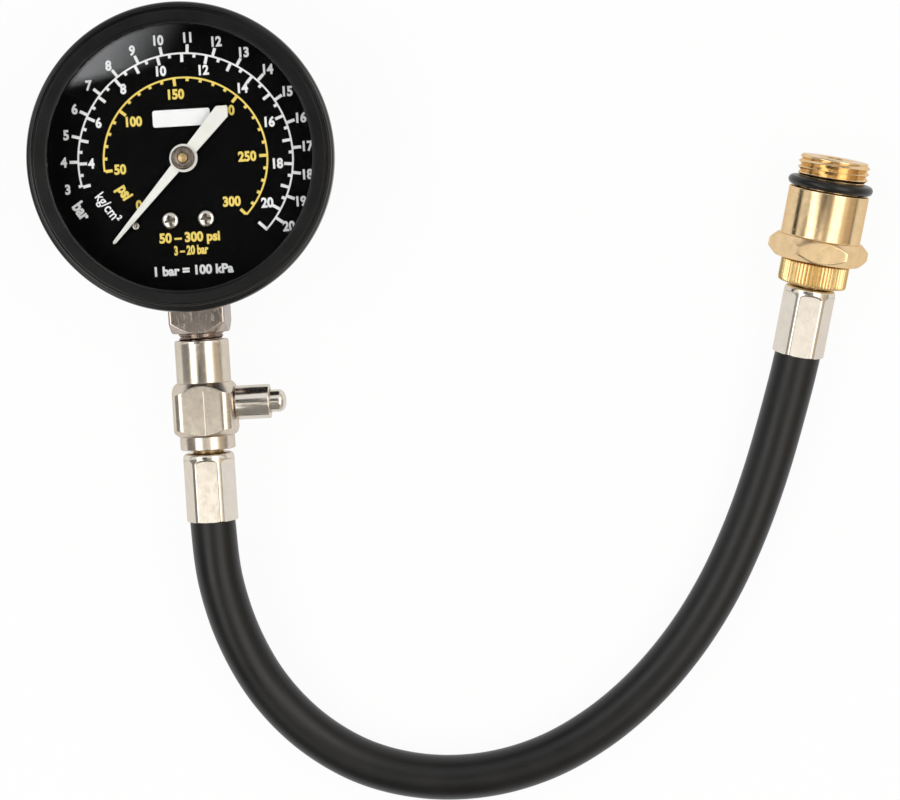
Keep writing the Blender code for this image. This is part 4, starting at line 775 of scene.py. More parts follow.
def makeDialPrint():
    look = dialLook
    white, yellow = coats["whiteInk"], coats["yellowInk"]
    out, into = look["white"]["radius"], look["yellow"]["radius"]
    edge = look["line"] / 2
    rows = [(turnOf(bar * perBar), out + edge, out + (2.2 if bar > 3 else 0.8)) for bar in range(3, 21)]
    rows += [(turnOf(step / 2 * perKilogram), out - edge, out - (2.2 if step % 2 == 0 else 1.0))
             for step in range(6, 41)]
    rows.append((look["white"]["to"], out + edge, out - 2.7))
    whitePieces = [arcStrip("white", white), tickMesh("white", rows, white)]
    rows = [(turnOf(psi), into - edge, into - (2.0 if psi % 50 == 0 else 0.9)) for psi in range(50, 301, 10)]
    yellowPieces = [arcStrip("yellow", yellow), tickMesh("yellow", rows, yellow)]
    for bar in range(3, 21):
        x, y = dialSpot(turnOf(bar * perBar), 30.6 if bar < 10 else 30.9, "white")
        whitePieces.append(wordMesh(str(bar), x, y, white))
    for weight in range(4, 21, 2):
        x, y = dialSpot(turnOf(weight * perKilogram), 23.7 if weight < 10 else 23.2, "white")
        whitePieces.append(wordMesh(str(weight), x, y, white))
    for psi, radius in ((0, 16.4), (50, 16.6), (100, 16.0), (150, 16.5), (200, 15.9), (250, 15.5), (300, 15.6)):
        x, y = dialSpot(49 if psi == 0 else turnOf(psi), radius, "yellow")
        yellowPieces.append(wordMesh(str(psi), x, y, yellow))
    # Unit words beside the scales, and plain lines where the dial has its title
    whitePieces.append(wordMesh("bar", -26.7, -11.7, white, size=4.2, turn=-58, squeeze=0.8))
    whitePieces.append(wordMesh("kg/cm²", -20.2, -11.4, white, size=3.7, turn=-56, squeeze=0.84, bold=0.015))
    yellowPieces.append(wordMesh("psi", -15.9, -7.8, yellow, size=4.1, turn=-62, squeeze=0.8))
    yellowPieces.append(wordMesh("50 – 300 psi", 0.0, -20.0, yellow, size=3.3, squeeze=0.94))
    yellowPieces.append(wordMesh("3 – 20 bar", 0.2, -22.9, yellow, size=3.1, squeeze=0.66))
    whitePieces.append(wordMesh("1 bar = 100 kPa", 0.6, -27.9, white, size=3.15, squeeze=1.0))
    plate = []
    for cx, cy, start in ((6.6, 1.5, 0), (-6.6, 1.5, pi / 2), (-6.6, -1.5, pi), (6.6, -1.5, 1.5 * pi)):
        plate += arcPoints((cx, cy), 0.6, start, start + pi / 2, 5)
    whitePieces.append(slab("plate", [[(x - 0.2, y + 10.1) for x, y in plate]], look["low"], look["high"], white))
    use(joined("whitePrint", whitePieces), "gauge", "white_paint")
    use(joined("yellowPrint", yellowPieces), "gauge", "white_paint")


makeDialPrint()
print("dial printed")

# Pointer: pressed sheet with a boss, tapered needle and a broad tail
pointerLook = {"rest": -133, "low": 24.7, "high": 25.3, "reach": 27.7, "tip": 0.8, "root": 2.7, "boss": 3.5,
               "tail": 17.0, "tailInner": 3.3, "tailOuter": 3.9, "bore": 1.3, "bevel": 0.03}
hubLook = {"low": 25.6, "high": 26.6, "radius": 2.9, "shaft": 1.2, "shaftTop": 26.9}


def makePointer():
    look = pointerLook
    tip, root, boss = look["tip"] / 2, look["root"] / 2, look["boss"]
    inner, outer, tail = look["tailInner"] / 2, look["tailOuter"] / 2, look["tail"]
    outline = [(look["reach"] - tip, -tip), (look["reach"], -0.12), (look["reach"], 0.12), (look["reach"] - tip, tip)]
    outline += arcPoints((0, 0), boss, atan2(root, boss), pi - atan2(inner, boss), 36)
    outline += [(-tail + outer, outer), (-tail, 0), (-tail + outer, -outer)]
    outline += arcPoints((0, 0), boss, pi + atan2(inner, boss), 2 * pi - atan2(root, boss), 36)
    pointer = slab("needle", [outline], look["low"], look["high"], coats["pointerWhite"])
    modifier = pointer.modifiers.new("edge", "BEVEL")
    modifier.width, modifier.segments, modifier.limit_method = look["bevel"] * mm, 2, "ANGLE"
    baked(pointer)
    pointer.data.transform(Matrix.Rotation(radians(look["rest"]), 4, "Z"))
    carved(pointer, [rodTool(look["bore"], look["low"] - 1, look["high"] + 1)])
    use(pointer, "pointer", "white_paint", "pointer")
    look = hubLook
    hubOutline = [(look["shaft"] + 0.1, look["low"]), (look["radius"], look["low"]), (look["radius"], look["high"] - 0.3),
                  (look["radius"] - 0.35, look["high"]), (look["radius"] - 0.9, look["high"], 0.1),
                  (look["radius"] - 1.05, look["high"] - 0.18, 0.1), (look["shaft"] + 0.25, look["high"] - 0.1, 0.1),
                  (look["shaft"] + 0.1, look["high"] - 0.3)]
    hub = turnedPiece("hubCap", eased(hubOutline, 0.08), gaugeMetals["darkSteelAndShade"], steps=96)
    use(hub, "pointer", "steel", "pointer_hub")


# Screws: Phillips pan heads on the dial, with painted shade in their cross recesses, and countersunk heads in the back
# of the case
screwLook = {"head": 2.1, "low": 23.2, "high": 24.3, "shank": 1.0, "length": 6.0, "x": 4.5, "y": -15.3,
             "cross": 0.30, "crossReach": 1.35, "crossDepth": 0.8}


def pairTree():
    tree, given = newTree("screw pair", [("Spacing", "Float", 0.01), ("Row", "Float", 0.0), ("Finish", "Material", None)])
    line = put(tree, "GeometryNodeMeshLine", {"Count": 2, "Start Location": put(tree, "ShaderNodeCombineXYZ", {
        "X": calc(tree, "MULTIPLY", given["Spacing"], -0.5), "Y": given["Row"]}).outputs[0],
        "Offset": put(tree, "ShaderNodeCombineXYZ", {"X": given["Spacing"]}).outputs[0]}).outputs[0]
    turn = put(tree, "FunctionNodeRandomValue", {"Seed": 4}, data_type="FLOAT")
    spin = put(tree, "ShaderNodeCombineXYZ", {"Z": calc(tree, "MULTIPLY", open1(turn.outputs, "Value"), 0.35)})
    pair = put(tree, "GeometryNodeInstanceOnPoints", {"Points": line, "Instance": given["Geometry"],
                                                      "Rotation": spin.outputs[0]}).outputs[0]
    return endTree(tree, pair, given["Finish"])


screwPair = pairTree()


def crossTools(low, high, reach, half):
    return [newObject("tool", blockMesh((-reach, -half, low), (reach, half, high))),
            newObject("tool", blockMesh((-half, -reach, low), (half, reach, high)))]


def makeScrews():
    look = screwLook
    dome = [(look["head"] * cos(t), look["low"] + 0.45 + (look["high"] - look["low"] - 0.45) * sin(t), 0)
            for t in np.linspace(0, pi / 2, 12)[:-1]]
    outline = [(0, look["low"] - look["length"]), (look["shank"], look["low"] - look["length"]),
               (look["shank"], look["low"]), (look["head"], look["low"]), *dome, (0, look["high"])]
    screw = turnedPiece("panScrew", eased(outline, 0.1, closed=False), gaugeMetals["steel"], closed=False, steps=96)
    carved(screw, crossTools(look["high"] - look["crossDepth"], look["high"] + 1, look["crossReach"], look["cross"]))
    mesh = grown("dialScrews", screwPair, screw.data, {"Spacing": 2 * look["x"] * mm, "Row": look["y"] * mm,
                                                       "Finish": gaugeMetals["steel"]})
    bpy.data.objects.remove(screw)
    # Faces inside the cross recesses get the dark steel finish: painted shade in the recesses
    mesh.materials.append(gaugeMetals["darkSteelAndShade"])
    recessShade = len(mesh.materials) - 1
    for face in mesh.polygons:
        spot = face.center / mm
        reach = hypot(abs(spot.x) - look["x"], spot.y - look["y"]) / look["head"]
        surface = look["low"] + 0.45 + (look["high"] - look["low"] - 0.45) * sqrt(max(1 - reach ** 2, 0))
        if reach < 0.75 and look["high"] - look["crossDepth"] - 0.05 < spot.z < surface - 0.06:
            face.material_index = recessShade
    use(newObject("dialScrews", tidied(mesh, 30)), "gauge", "steel", "dial_screw_left", "dial_screw_right")
    outline = [(0, 0), (2.4, 0), (1.0, 1.3), (1.0, 6.2), (0, 6.2)]
    screw = turnedPiece("sunkScrew", eased(outline, 0.08, closed=False), gaugeMetals["steel"], closed=False, steps=64)
    carved(screw, crossTools(-1, 0.6, 1.3, 0.34))
    mesh = grown("caseScrews", screwPair, screw.data, {"Spacing": 8 * mm, "Row": -24 * mm,
                                                       "Finish": gaugeMetals["steel"]})
    bpy.data.objects.remove(screw)
    use(newObject("caseScrews", tidied(mesh, 30)), "gauge", "steel", "case_screw_left", "case_screw_right")
    pin = [(0, 22.1), (0.5, 22.1), (0.5, 22.9), (0.9, 22.9), (0.9, 23.9, 0.2), (0.5, 23.9, 0.1), (0.5, 26.2, 0.3), (0, 26.2)]
    pin = turnedPiece("stopPin", eased(pin, 0.05, closed=False), gaugeMetals["steel"], closed=False, steps=40)
    low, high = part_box("stop_pin")
    pin.data.transform(Matrix.Translation(((low.x + high.x) / 2, (low.y + high.y) / 2, 0)))
    use(pin, "gauge", "steel", "stop_pin")


makePointer()
makeScrews()
print("pointer and screws made")

# Socket: square shank with turned corners, threaded neck, and the block that carries the movement
socketLook = {"flats": 14.3, "inside": 33.9, "end": 44.0, "chamfer": 7.2, "neck": 5.7, "neckEnd": 53.0,
              "blockLow": 1.9, "blockHigh": 20.3, "blockInner": 14.0, "pitch": 1.0, "threadDepth": 0.45}


def makeSocket():
    look = socketLook
    half, corner = look["flats"] / 2, look["flats"] / 2 * sqrt(2)
    points = [(0, look["inside"]), (corner + 0.5, look["inside"], 0.1), (corner + 0.5, look["end"] - corner + look["chamfer"] - 0.5, 0.1),
              (look["chamfer"], look["end"], 0.25), (look["neck"] - 0.2, look["end"], 0.1),
              (look["neck"], look["end"] + 0.3, 0.1), (look["neck"], look["neckEnd"] - 0.6, 0.1),
              (look["neck"] - 0.6, look["neckEnd"], 0.1), (2.0, look["neckEnd"], 0.1), (2.0, look["inside"] - 9, 0),
              (0, look["inside"] - 9)]
    points = divided(eased(points[:-2] + [(2.0, look["inside"] + 1, 0), (0, look["inside"] + 1)], 0.2, closed=False),
                     [(look["end"] - 4.0, look["end"], 0.12), (look["inside"], look["end"] - 4, 0.6),
                      (look["end"], look["neckEnd"], 0.08)], closed=False)
    shank = turnedPiece("socket", points, stemMetals["satinNickel"], stemFrame, closed=False, steps=204,
                        bar=lambda r, z: r > 2.5 and z < look["end"] + 0.01, sides=4, flats=look["flats"] * mm,
                        corner=0.6 * mm, ease=0.12 * mm, pitch=look["pitch"] * mm,
                        thread=lambda r, z: r > 4 and z > look["end"] + 0.4, thread_depth=look["threadDepth"] * mm)
    block = newObject("tool", blockMesh((-half, -look["inside"] - 0.02, look["blockLow"]),
                                        (half, -look["blockInner"], look["blockHigh"])))
    tongue = newObject("tool", blockMesh((-6, -look["blockInner"] - 0.3, 5.5), (6, -look["blockInner"] + 5, 8.5)))
    carved(shank, [block, tongue], "UNION")
    tools = [newObject("tool", blockMesh((-7.45, -29.1, 8.7), (-3.85, -23.95, 19.3))),
             newObject("tool", blockMesh((-4.2, -27.9, 13.1), (1.0, -26.1, 14.9)))]
    for side in (-1, 1):
        tools.append(rodTool(1.3, 16.9, 20.6, side * 4.5, -15.3))
        tools.append(rodTool(1.3, 1.6, 6.5, side * 4.0, -24.0))
        tools.append(rodTool(1.3, 5.2, 8.8, side * 3.5, -11.5))
    tools.append(rodTool(2.0, 25.2, 35.5, place=stemFrame))
    carved(shank, tools)
    shank.data.materials.append(stemMetals["dullBrass"])
    for face in shank.data.polygons:
        if -face.center.y / mm > look["end"] + 0.2:
            face.material_index = 1
    use(shank, "gauge", "nickel", "gauge_socket")


# Tee: rounded square bar turned down at both ends
teeLook = {"start": 45.8, "body": 56.8, "bodyEnd": 70.2, "end": 73.8, "flats": 15.5, "corner": 3.0, "top": 6.9,
           "low": 7.0, "neckBore": 6.0, "nippleBore": 4.5, "ridgeX": 0.55, "ridgeWidth": 0.26, "ridgeHigh": 0.07}


def makeTee():
    look = teeLook
    half = look["flats"] / 2
    corner = hypot(half - look["corner"], half - look["corner"]) + look["corner"]
    slope = corner - look["top"]
    points = [(look["neckBore"], look["start"]), (look["top"] - 0.1, look["start"], 0.35), (look["top"], look["start"] + 0.8),
              (look["top"], look["body"] - 0.15, 0.1), (look["top"] + 0.35, look["body"], 0.15),
              (corner + 0.3, look["body"] + slope, 0.5), (corner + 0.3, look["bodyEnd"] - slope * 0.7, 0.5),
              (look["low"] + 0.35, look["bodyEnd"], 0.15), (look["low"], look["bodyEnd"] + 0.15, 0.1),
              (look["low"], look["end"] - 0.2, 0.3), (look["low"] - 0.3, look["end"], 0.1), (look["nippleBore"], look["end"], 0.1),
              (look["nippleBore"], look["end"] - 6.5), (2.0, look["end"] - 6.5), (2.0, look["start"] + 8),
              (look["neckBore"], look["start"] + 8)]
    rows = [(look["body"] - 0.2, look["body"] + slope + 0.6, 0.09), (look["body"] + slope, look["bodyEnd"] - slope * 0.7, 0.7),
            (look["bodyEnd"] - slope * 0.7 - 0.6, look["bodyEnd"] + 0.2, 0.09)]
    tee = turnedPiece("tee", divided(eased(points, 0.15), rows), stemMetals["nickel"], stemFrame, steps=216,
                      bar=lambda r, z: r > 6.5 and look["body"] - 0.1 < z < look["bodyEnd"] + 0.1, sides=4,
                      flats=look["flats"] * mm, corner=look["corner"] * mm, ease=0.10 * mm, sharp=40)
    port = [Vector(p) for p in ((0, 2.2), (2.6, 2.2), (2.6, 4.9), (3.7, 4.9), (3.7, 15.5), (0, 15.5))]
    tools = [turnedPiece("tool", port, None, bleedFrame, closed=False, steps=64), rodTool(1.0, -0.5, 2.5, place=bleedFrame)]
    carved(tee, tools)
    mesh = tee.data
    mesh.materials.append(stemMetals["satinNickel"])
    for face in mesh.polygons:
        spot = face.center / mm
        if abs(face.normal.z) > 0.995 and abs(spot.z - 14) > half - 0.3 and look["body"] < -spot.y < look["bodyEnd"]:
            face.material_index = 1
    use(tee, "gauge", "nickel", "tee_body")
    # A raised parting line down the front face
    top, wide, x = 14 + half, look["ridgeWidth"] / 2, look["ridgeX"]
    shape = bmesh.new()
    ends = []
    for y, lift in ((-58.6, 0.0), (-59.4, 1.0), (-69.2, 1.0), (-69.9, 0.0)):
        ends.append([shape.verts.new((px * mm, y * mm, pz * mm)) for px, pz in (
            (x - wide, top - 0.15), (x - wide, top - 0.01), (x, top - 0.01 + look["ridgeHigh"] * lift),
            (x + wide, top - 0.01), (x + wide, top - 0.15))])
    for a, b in zip(ends, ends[1:]):
        for k in range(5):
            n = (k + 1) % 5
            shape.faces.new((a[k], a[n], b[n], b[k]))
    shape.faces.new(ends[0])
    shape.faces.new(ends[-1])
    mesh = bpy.data.meshes.new("teeRidge")
    shape.to_mesh(mesh)
    shape.free()
    mesh.materials.append(stemMetals["nickel"])
    use(newObject("teeRidge", tidied(mesh, 20)), "gauge", "nickel")


# Bleed valve: turned barrel and a domed button
bleedLook = {"barrel": 4.35, "end": 16.7, "seat": 5.2, "thread": 3.4, "web": (8.5, 9.7), "bore": 3.15,
             "button": 2.85, "head": 14.9, "tip": 20.7, "dome": 1.9}


def makeBleed():
    look = bleedLook
    barrel = [(2.4, look["seat"]), (look["thread"], look["seat"], 0.3), (look["thread"], 8.05), (look["barrel"], 8.05, 0.15),
              (look["barrel"], look["end"], 0.35), (look["bore"], look["end"], 0.15), (look["bore"], look["web"][1]),
              (1.3, look["web"][1]), (1.3, look["web"][0]), (2.4, look["web"][0])]
    barrel = turnedPiece("bleedBarrel", eased(barrel, 0.1), bleedMetals["chrome"], bleedFrame, steps=128)
    use(barrel, "gauge", "nickel", "bleed_barrel")
    flange = 8.5 - 0.3 - 1.2 - 0.3
    dome = [(look["button"] * cos(t) ** 0.75, look["tip"] - look["dome"] + look["dome"] * sin(t), 0)
            for t in np.linspace(0, pi / 2, 20)[:-1]]
    button = [(0, flange - 0.7), (2.1, flange - 0.7), (2.1, flange), (1.0, flange), (1.0, look["head"]),
              (look["button"], look["head"], 0.2), *dome, (0, look["tip"])]
    button = turnedPiece("bleedButton", eased(button, 0.08, closed=False), bleedMetals["chrome"], bleedFrame,
                         closed=False, steps=128)
    use(button, "bleed_button", "nickel", "bleed_button")


makeSocket()
makeTee()
makeBleed()
print("socket, tee and bleed valve made")

# Crimp ferrules: a tube with a turned collar, pressed to six flats
ferruleLook = {"length": 17.6, "round": 6.55, "flats": 11.8, "neck": 4.1, "bore": 5.82, "collar": 1.2, "flange": 1.2}


def makeFerrule(name, finish, place, *replaced):
    look = ferruleLook
    points = [(look["neck"], 0), (look["round"] - 1.1, 0, 0.5), (look["round"] - 0.25, 0.35, 0.5),
              (look["round"], 1.3, 0.5), (look["round"], look["length"] - 0.2, 0.1), (look["round"] - 0.3, look["length"], 0.1),
              (look["bore"], look["length"], 0.02),
              (look["bore"], look["flange"]), (look["neck"], look["flange"])]
    points = divided(eased(points, 0.1), [(0.3, 5.0, 0.10), (5.0, look["length"], 0.5)])
    ferrule = turnedPiece(name, points, finish, place, steps=240, sides=6, flats=look["flats"] * mm,
                          corner=0.4 * mm, ease=0.10 * mm, bar=lambda r, z: r > 5.9, press_start=look["collar"] * mm,
                          press_fade=0.8 * mm, press_round=0.7 * mm, sharp=40)
    use(ferrule, "gauge", "nickel", *replaced)
    return ferrule


def barbs(start, direction, length):
    points = []
    pitch = (length - 1.0) / 3
    for k in range(3):
        foot = start + direction * k * pitch
        points += [(3.7, foot), (3.1, foot + direction * pitch * 0.95)]
    return points + [(3.1, start + direction * length)]


def makeFerrules():
    near = stemFrame @ Matrix.Translation((0, 0, 74.6 * mm)) @ Matrix.Rotation(pi / 6 + pi / 3, 4, "Z")
    far = plugFrame @ Matrix.Translation((0, 0, 17.6 * mm)) @ Matrix.Rotation(pi, 4, "X") @ Matrix.Rotation(pi / 2, 4, "Z")
    makeFerrule("nearFerrule", stemMetals["crimped"], near, "near_ferrule")
    farFerrule = makeFerrule("farFerrule", plugMetals["crimped"], far, "far_ferrule")
    neck, inside = 3.8, 74.6 + 1.2 + 0.3
    tail = barbs(inside, 1, 92.2 - inside - 0.3)
    points = [(1.6, 67.6), (4.2, 67.6), (4.2, 74.1), (neck, 74.1, 0.05), (neck, inside), *tail, (1.6, 91.9)]
    nipple = turnedPiece("nearNipple", eased(points, 0.08), stemMetals["dullBrass"], stemFrame, steps=96)
    use(nipple, "gauge", "brass", "near_hose_nipple")
    return farFerrule


farFerrule = makeFerrules()

# Far nipple: barbed tail, neck and a knurled collar
collarLook = {"start": 18.1, "length": 6.0, "radius": 8.7, "round": 0.6, "ridges": 56, "depth": 0.40, "insert": 5.8,
              "insertLength": 8.0, "neck": 3.8}


def makeFarNipple():
    look = collarLook
    start, end, radius = look["start"], look["start"] + look["length"], look["radius"]
    inside = 17.6 - 1.2 - 0.3
    tail = list(reversed(barbs(inside, -1, inside - 0.3)))
    points = [(1.6, 0.3), *tail, (look["neck"], inside), (look["neck"], start - 0.2, 0.05), (look["neck"] + 0.5, start),
              (radius - look["round"] - 0.3, start, 0.3), (radius - 0.15, start + 0.25, 0.2), (radius, start + 0.8, 0.3),
              (radius, end - 0.35, 0.1), (radius - 0.35, end, 0.1), (look["insert"], end, 0.05),
              (look["insert"], end + look["insertLength"], 0.3), (1.6, end + look["insertLength"], 0.1)]
    points = divided(eased(points, 0.08), [(start - 0.1, end, 0.45)])
    nipple = turnedPiece("knurledNipple", points, plugMetals["goldenBrass"], plugFrame, steps=56 * 6, sharp=28,
                         ridge=lambda r, z: min(max((r - 7.2) / 0.9, 0), 1) * (start < z < end + 0.01),
                         ridges=look["ridges"], ridge_depth=look["depth"] * mm)
    return use(nipple, "gauge", "brass", "far_hose_nipple")


# Adapter: hexagon, polished barrel, groove for the ring and an 18 mm thread
adapterLook = {"hexStart": 24.4, "hexEnd": 30.2, "flats": 22.0, "corner": 12.6, "hexEndRadius": 10.7, "barrel": 10.1,
               "shoulder": 42.3, "groove": 8.0, "threadStart": 45.3, "threadEnd": 50.5, "thread": 9.0,
               "pitch": 1.5, "threadDepth": 0.80, "valveBore": 4.0, "valveFloor": 38.5, "ring": 2.4}


def makeAdapter():
    look = adapterLook
    rise = (look["hexEnd"] - look["hexStart"] - 1.6) / 2
    insert, floor = 6.1, 24.1 + 8.0 + 0.3
    points = [(insert + 1.9, look["hexStart"], 0.05), (look["hexEndRadius"], look["hexStart"], 0.2),
              (look["corner"] + 0.25, look["hexStart"] + rise, 0.6), (look["corner"] + 0.25, look["hexEnd"] - rise, 0.6),
              (look["hexEndRadius"], look["hexEnd"], 0.2), (look["barrel"] + 0.12, look["hexEnd"], 0.1),
              (look["barrel"], look["hexEnd"] + 0.25, 0.1), (look["barrel"], look["shoulder"] - 0.1, 0.25),
              (look["barrel"] - 0.5, look["shoulder"], 0.1), (look["groove"], look["shoulder"], 0.1),
              (look["groove"], look["threadStart"], 0.05), (look["thread"] - 0.75, look["threadStart"], 0.05),
              (look["thread"], look["threadStart"] + 0.7, 0.05), (look["thread"], look["threadEnd"] - 0.75, 0.1),
              (look["thread"] - 0.8, look["threadEnd"], 0.1), (look["valveBore"] + 0.5, look["threadEnd"], 0.1),
              (look["valveBore"], look["threadEnd"] - 0.5, 0.1), (look["valveBore"], look["valveFloor"]), (2.0, look["valveFloor"]), (2.0, floor),
              (insert, floor), (insert, look["hexStart"] + 1.9), (insert + 1.9, look["hexStart"] + 1.9)]
    points = divided(eased(points, 0.1), [(look["hexStart"], look["hexEnd"], 0.10), (look["threadStart"], look["threadEnd"], 0.055)])
    points = [p for k, p in enumerate(points) if (p - points[k - 1]).length > 1e-4]
    flatsUp = plugFrame @ Matrix.Rotation(pi / 6, 4, "Z")
    adapter = turnedPiece("adapter", points, plugMetals["brass"], flatsUp, steps=168, sides=6,
                          flats=look["flats"] * mm, corner=0.3 * mm, ease=0.04 * mm,
                          bar=lambda r, z: r > 10.3 and look["hexStart"] - 0.1 < z < look["hexEnd"] + 0.05,
                          pitch=look["pitch"] * mm, thread_depth=look["threadDepth"] * mm,
                          thread=lambda r, z: (min(max(r - 8.25, 0) / 0.75, 1) if r > 8 and look["threadStart"] < z
                                               < look["threadEnd"] + 0.01 else 0), sharp=30)
    mesh = adapter.data
    mesh.materials.append(plugMetals["sandyBrass"])
    back = plugFrame.inverted()
    for face in mesh.polygons:
        spot = back @ face.center / mm
        if look["hexStart"] - 0.01 < spot.z < look["hexEnd"] + 0.05 and hypot(spot.x, spot.y) > 8.5:
            face.material_index = 1
    use(adapter, "gauge", "brass", "spark_plug_adapter")
    thick = look["ring"] / 2
    middle = look["groove"] + 0.3 + thick
    points = [Vector(p) for p in arcPoints((middle, look["shoulder"] + 0.3 + thick), thick, 0, 2 * pi, 32)[:-1]]
    ring = turnedPiece("adapterRing", points, coats["ringRubber"], plugFrame, steps=160, sharp=60)
    use(ring, "gauge", "rubber", "adapter_o_ring")
    return adapter, ring


# Check valve in the adapter's end: slotted body and its pin
valveLook = {"high": 49.3, "low": 42.3, "outer": 3.9, "chamber": 2.6, "hole": 1.0, "slot": 0.5}


def makeCheckValve():
    look = valveLook
    high = look["high"]
    body = [(look["hole"], high - 1.2), (look["chamber"], high - 1.2), (look["chamber"], high, 0.2),
            (look["outer"], high, 0.3), (look["outer"], look["low"]), (look["chamber"], look["low"]),
            (look["chamber"], high - 2.4), (look["hole"], high - 2.4)]
    body = turnedPiece("checkValveBody", eased(body, 0.08), plugMetals["brass"], plugFrame, steps=96)
    slots = [newObject("tool", blockMesh((-5, -look["slot"] / 2, high - 0.8), (-2.7, look["slot"] / 2, high + 1), plugFrame)),
             newObject("tool", blockMesh((2.7, -look["slot"] / 2, high - 0.8), (5, look["slot"] / 2, high + 1), plugFrame))]
    carved(body, slots)
    use(body, "gauge", "brass", "check_valve_body")
    low = high - 2.4 - 0.3 - 0.8 - 0.3
    pin = [(0, low - 0.7), (2.3, low - 0.7), (2.3, low), (0.7, low), (0.7, high, 0.3), (0, high)]
    pin = turnedPiece("checkValvePin", eased(pin, 0.08, closed=False), plugMetals["steel"], plugFrame, closed=False, steps=64)
    use(pin, "valve_pin", "steel", "check_valve_pin")
    return body, pin


nipple = makeFarNipple()
adapter, ring = makeAdapter()
valveBody, valvePin = makeCheckValve()
print("ferrules, nipples, adapter and check valve made")

# CAD pieces that keep their shape get a finish of their own
kept = {
    coats["glass"]: ("lens",), coats["ringRubber"]: ("lens_gasket", "bleed_seal", "nipple_o_ring", "check_valve_seal"),
    coats["dialBlack"]: ("dial_plate",),
    gaugeMetals["dullBrass"]: ("pinion_arbor",),
    gaugeMetals["brass"]: ("hairspring_collet", "hairspring_stud", "sector_gear", "tube_tip_cap",
                           "movement_bottom_plate", "movement_top_plate", "pillar_1", "pillar_2", "pillar_3",
                           "movement_screw_left", "movement_screw_right"),
    gaugeMetals["bronze"]: ("hairspring", "bourdon_tube"),
    gaugeMetals["steel"]: ("sector_arbor", "link", "link_pin", "tip_pin"),
    stemMetals["brass"]: ("restrictor",), bleedMetals["steel"]: ("bleed_spring",),
    plugMetals["steel"]: ("check_valve_spring",),
}
for finish, names in kept.items():
    for name in names:
        node = nodes[name]
        if not node.material_slots:
            node.data.materials.append(finish)
        for slot in node.material_slots:
            slot.material = finish

[p * mm for p in hosePath]

# Studio: white floor, two long soft boxes, a corner light over the dial and a dim dome for reflections
studio = {"floor": 3.0, "whiteShare": 0.94, "fill": 0.42, "domeRadius": 4.0, "panelHeight": 1.0,
          "left": {"spot": (-0.63, -0.16, 1.02), "size": (1.5, 0.54), "power": 6.5, "tint": (1.0, 0.98, 0.95)},
          "right": {"spot": (0.70, -0.16, 1.05), "size": (1.5, 0.62), "power": 6.5, "tint": (1.0, 0.97, 0.92)}}
# Patches of the dome in degrees: across (from, to), ahead (from, to), soft edge, colour
patches = (
    ((-120, -44), (-90, 90), 5, (0.27, 0.26, 0.25)),
    ((46, 120), (-90, 90), 5, (0.95, 0.86, 0.72)),
    ((63, 120), (-90, 90), 9, (0.64, 0.54, 0.42)),
    ((84, 120), (-90, 90), 6, (0.34, 0.30, 0.26)),
    ((-16, -2), (-9.5, -3.7), 0.4, (0.50, 0.46, 0.42)),
    ((-18, -2), (-10.0, -5.7), 0.3, (2.1, 2.05, 1.95)),
    ((-1, 14), (-12.6, -8.0), 0.5, (0.62, 0.59, 0.55)),
    ((-1, 16), (-19.5, -13.3), 0.5, (1.50, 1.47, 1.42)),
    ((-120, 120), (19, 58), 5, (1.0, 1.0, 1.0)),
    ((-13.5, -3.0), (-2.3, 7.5), 0.6, (0.006, 0.006, 0.006)),
)
# Window reflected at the upper left of the lens, at the panel's height, and the circle that the lens mirrors there
lensView = {"centre": (-0.1365, 0.0339), "radius": 0.0838}
panel = ((-0.140, 0.091), (0.060, 0.400), (-0.500, 0.400), (-0.500, 0.030))


def addLamp(name, look, target):
    data = bpy.data.lights.new(name, "AREA")
    data.shape = "RECTANGLE"
    data.size, data.size_y = look["size"]
    data.energy = look["power"]
    data.color = look["tint"]
    lamp = bpy.data.objects.new(name, data)
    scene.collection.objects.link(lamp)
    spot = Vector(look["spot"])
    lamp.location = spot
    lamp.rotation_euler = (spot - Vector(target)).to_track_quat("Z", "Y").to_euler()
    lamp.visible_camera = False
    return lamp


def seenAsWhite(tree):
    path = put(tree, "ShaderNodeLightPath").outputs
    seen = calc(tree, "MAXIMUM", path["Is Camera Ray"], path["Is Glossy Ray"])
    return calc(tree, "MAXIMUM", seen, path["Is Transmission Ray"])


def addFloor():
    half = studio["floor"]
    mesh = bpy.data.meshes.new("floor")
    mesh.from_pydata([(-half, -half, 0), (half, -half, 0), (half, half, 0), (-half, half, 0)], [], [(0, 1, 2, 3)])
    mesh.transform(Matrix.Translation((0.06, -0.06, -0.0002)))
    material, tree = newFinish("floor")
    coords = put(tree, "ShaderNodeTexCoord").outputs["Object"]
    paper = noise(tree, coords, 40.0, 3.0, 0.6)
    shade = mixed(tree, paper, colour(0.90, 0.90, 0.90), colour(0.93, 0.93, 0.93))
    matte = put(tree, "ShaderNodeBsdfDiffuse", {"Color": shade}).outputs[0]
    white = put(tree, "ShaderNodeEmission", {"Color": colour(1, 1, 1), "Strength": 1.0}).outputs[0]
    share = calc(tree, "MULTIPLY", seenAsWhite(tree), studio["whiteShare"])
    top = put(tree, "ShaderNodeMixShader", {0: share, 1: matte, 2: white}).outputs[0]
    clear = put(tree, "ShaderNodeBsdfTransparent").outputs[0]
    under = put(tree, "ShaderNodeNewGeometry").outputs["Backfacing"]
    both = put(tree, "ShaderNodeMixShader", {0: under, 1: top, 2: clear}).outputs[0]
    put(tree, "ShaderNodeOutputMaterial", {"Surface": both})
    mesh.materials.append(material)
    newObject("floor", mesh)


def band(tree, value, low, high, soft):
    # 1 between two angles in degrees, fading outside them
    rise = ranged(tree, value, radians(low - soft), radians(low), kind="SMOOTHSTEP")
    return calc(tree, "MULTIPLY", rise, ranged(tree, value, radians(high + soft), radians(high), kind="SMOOTHSTEP"))


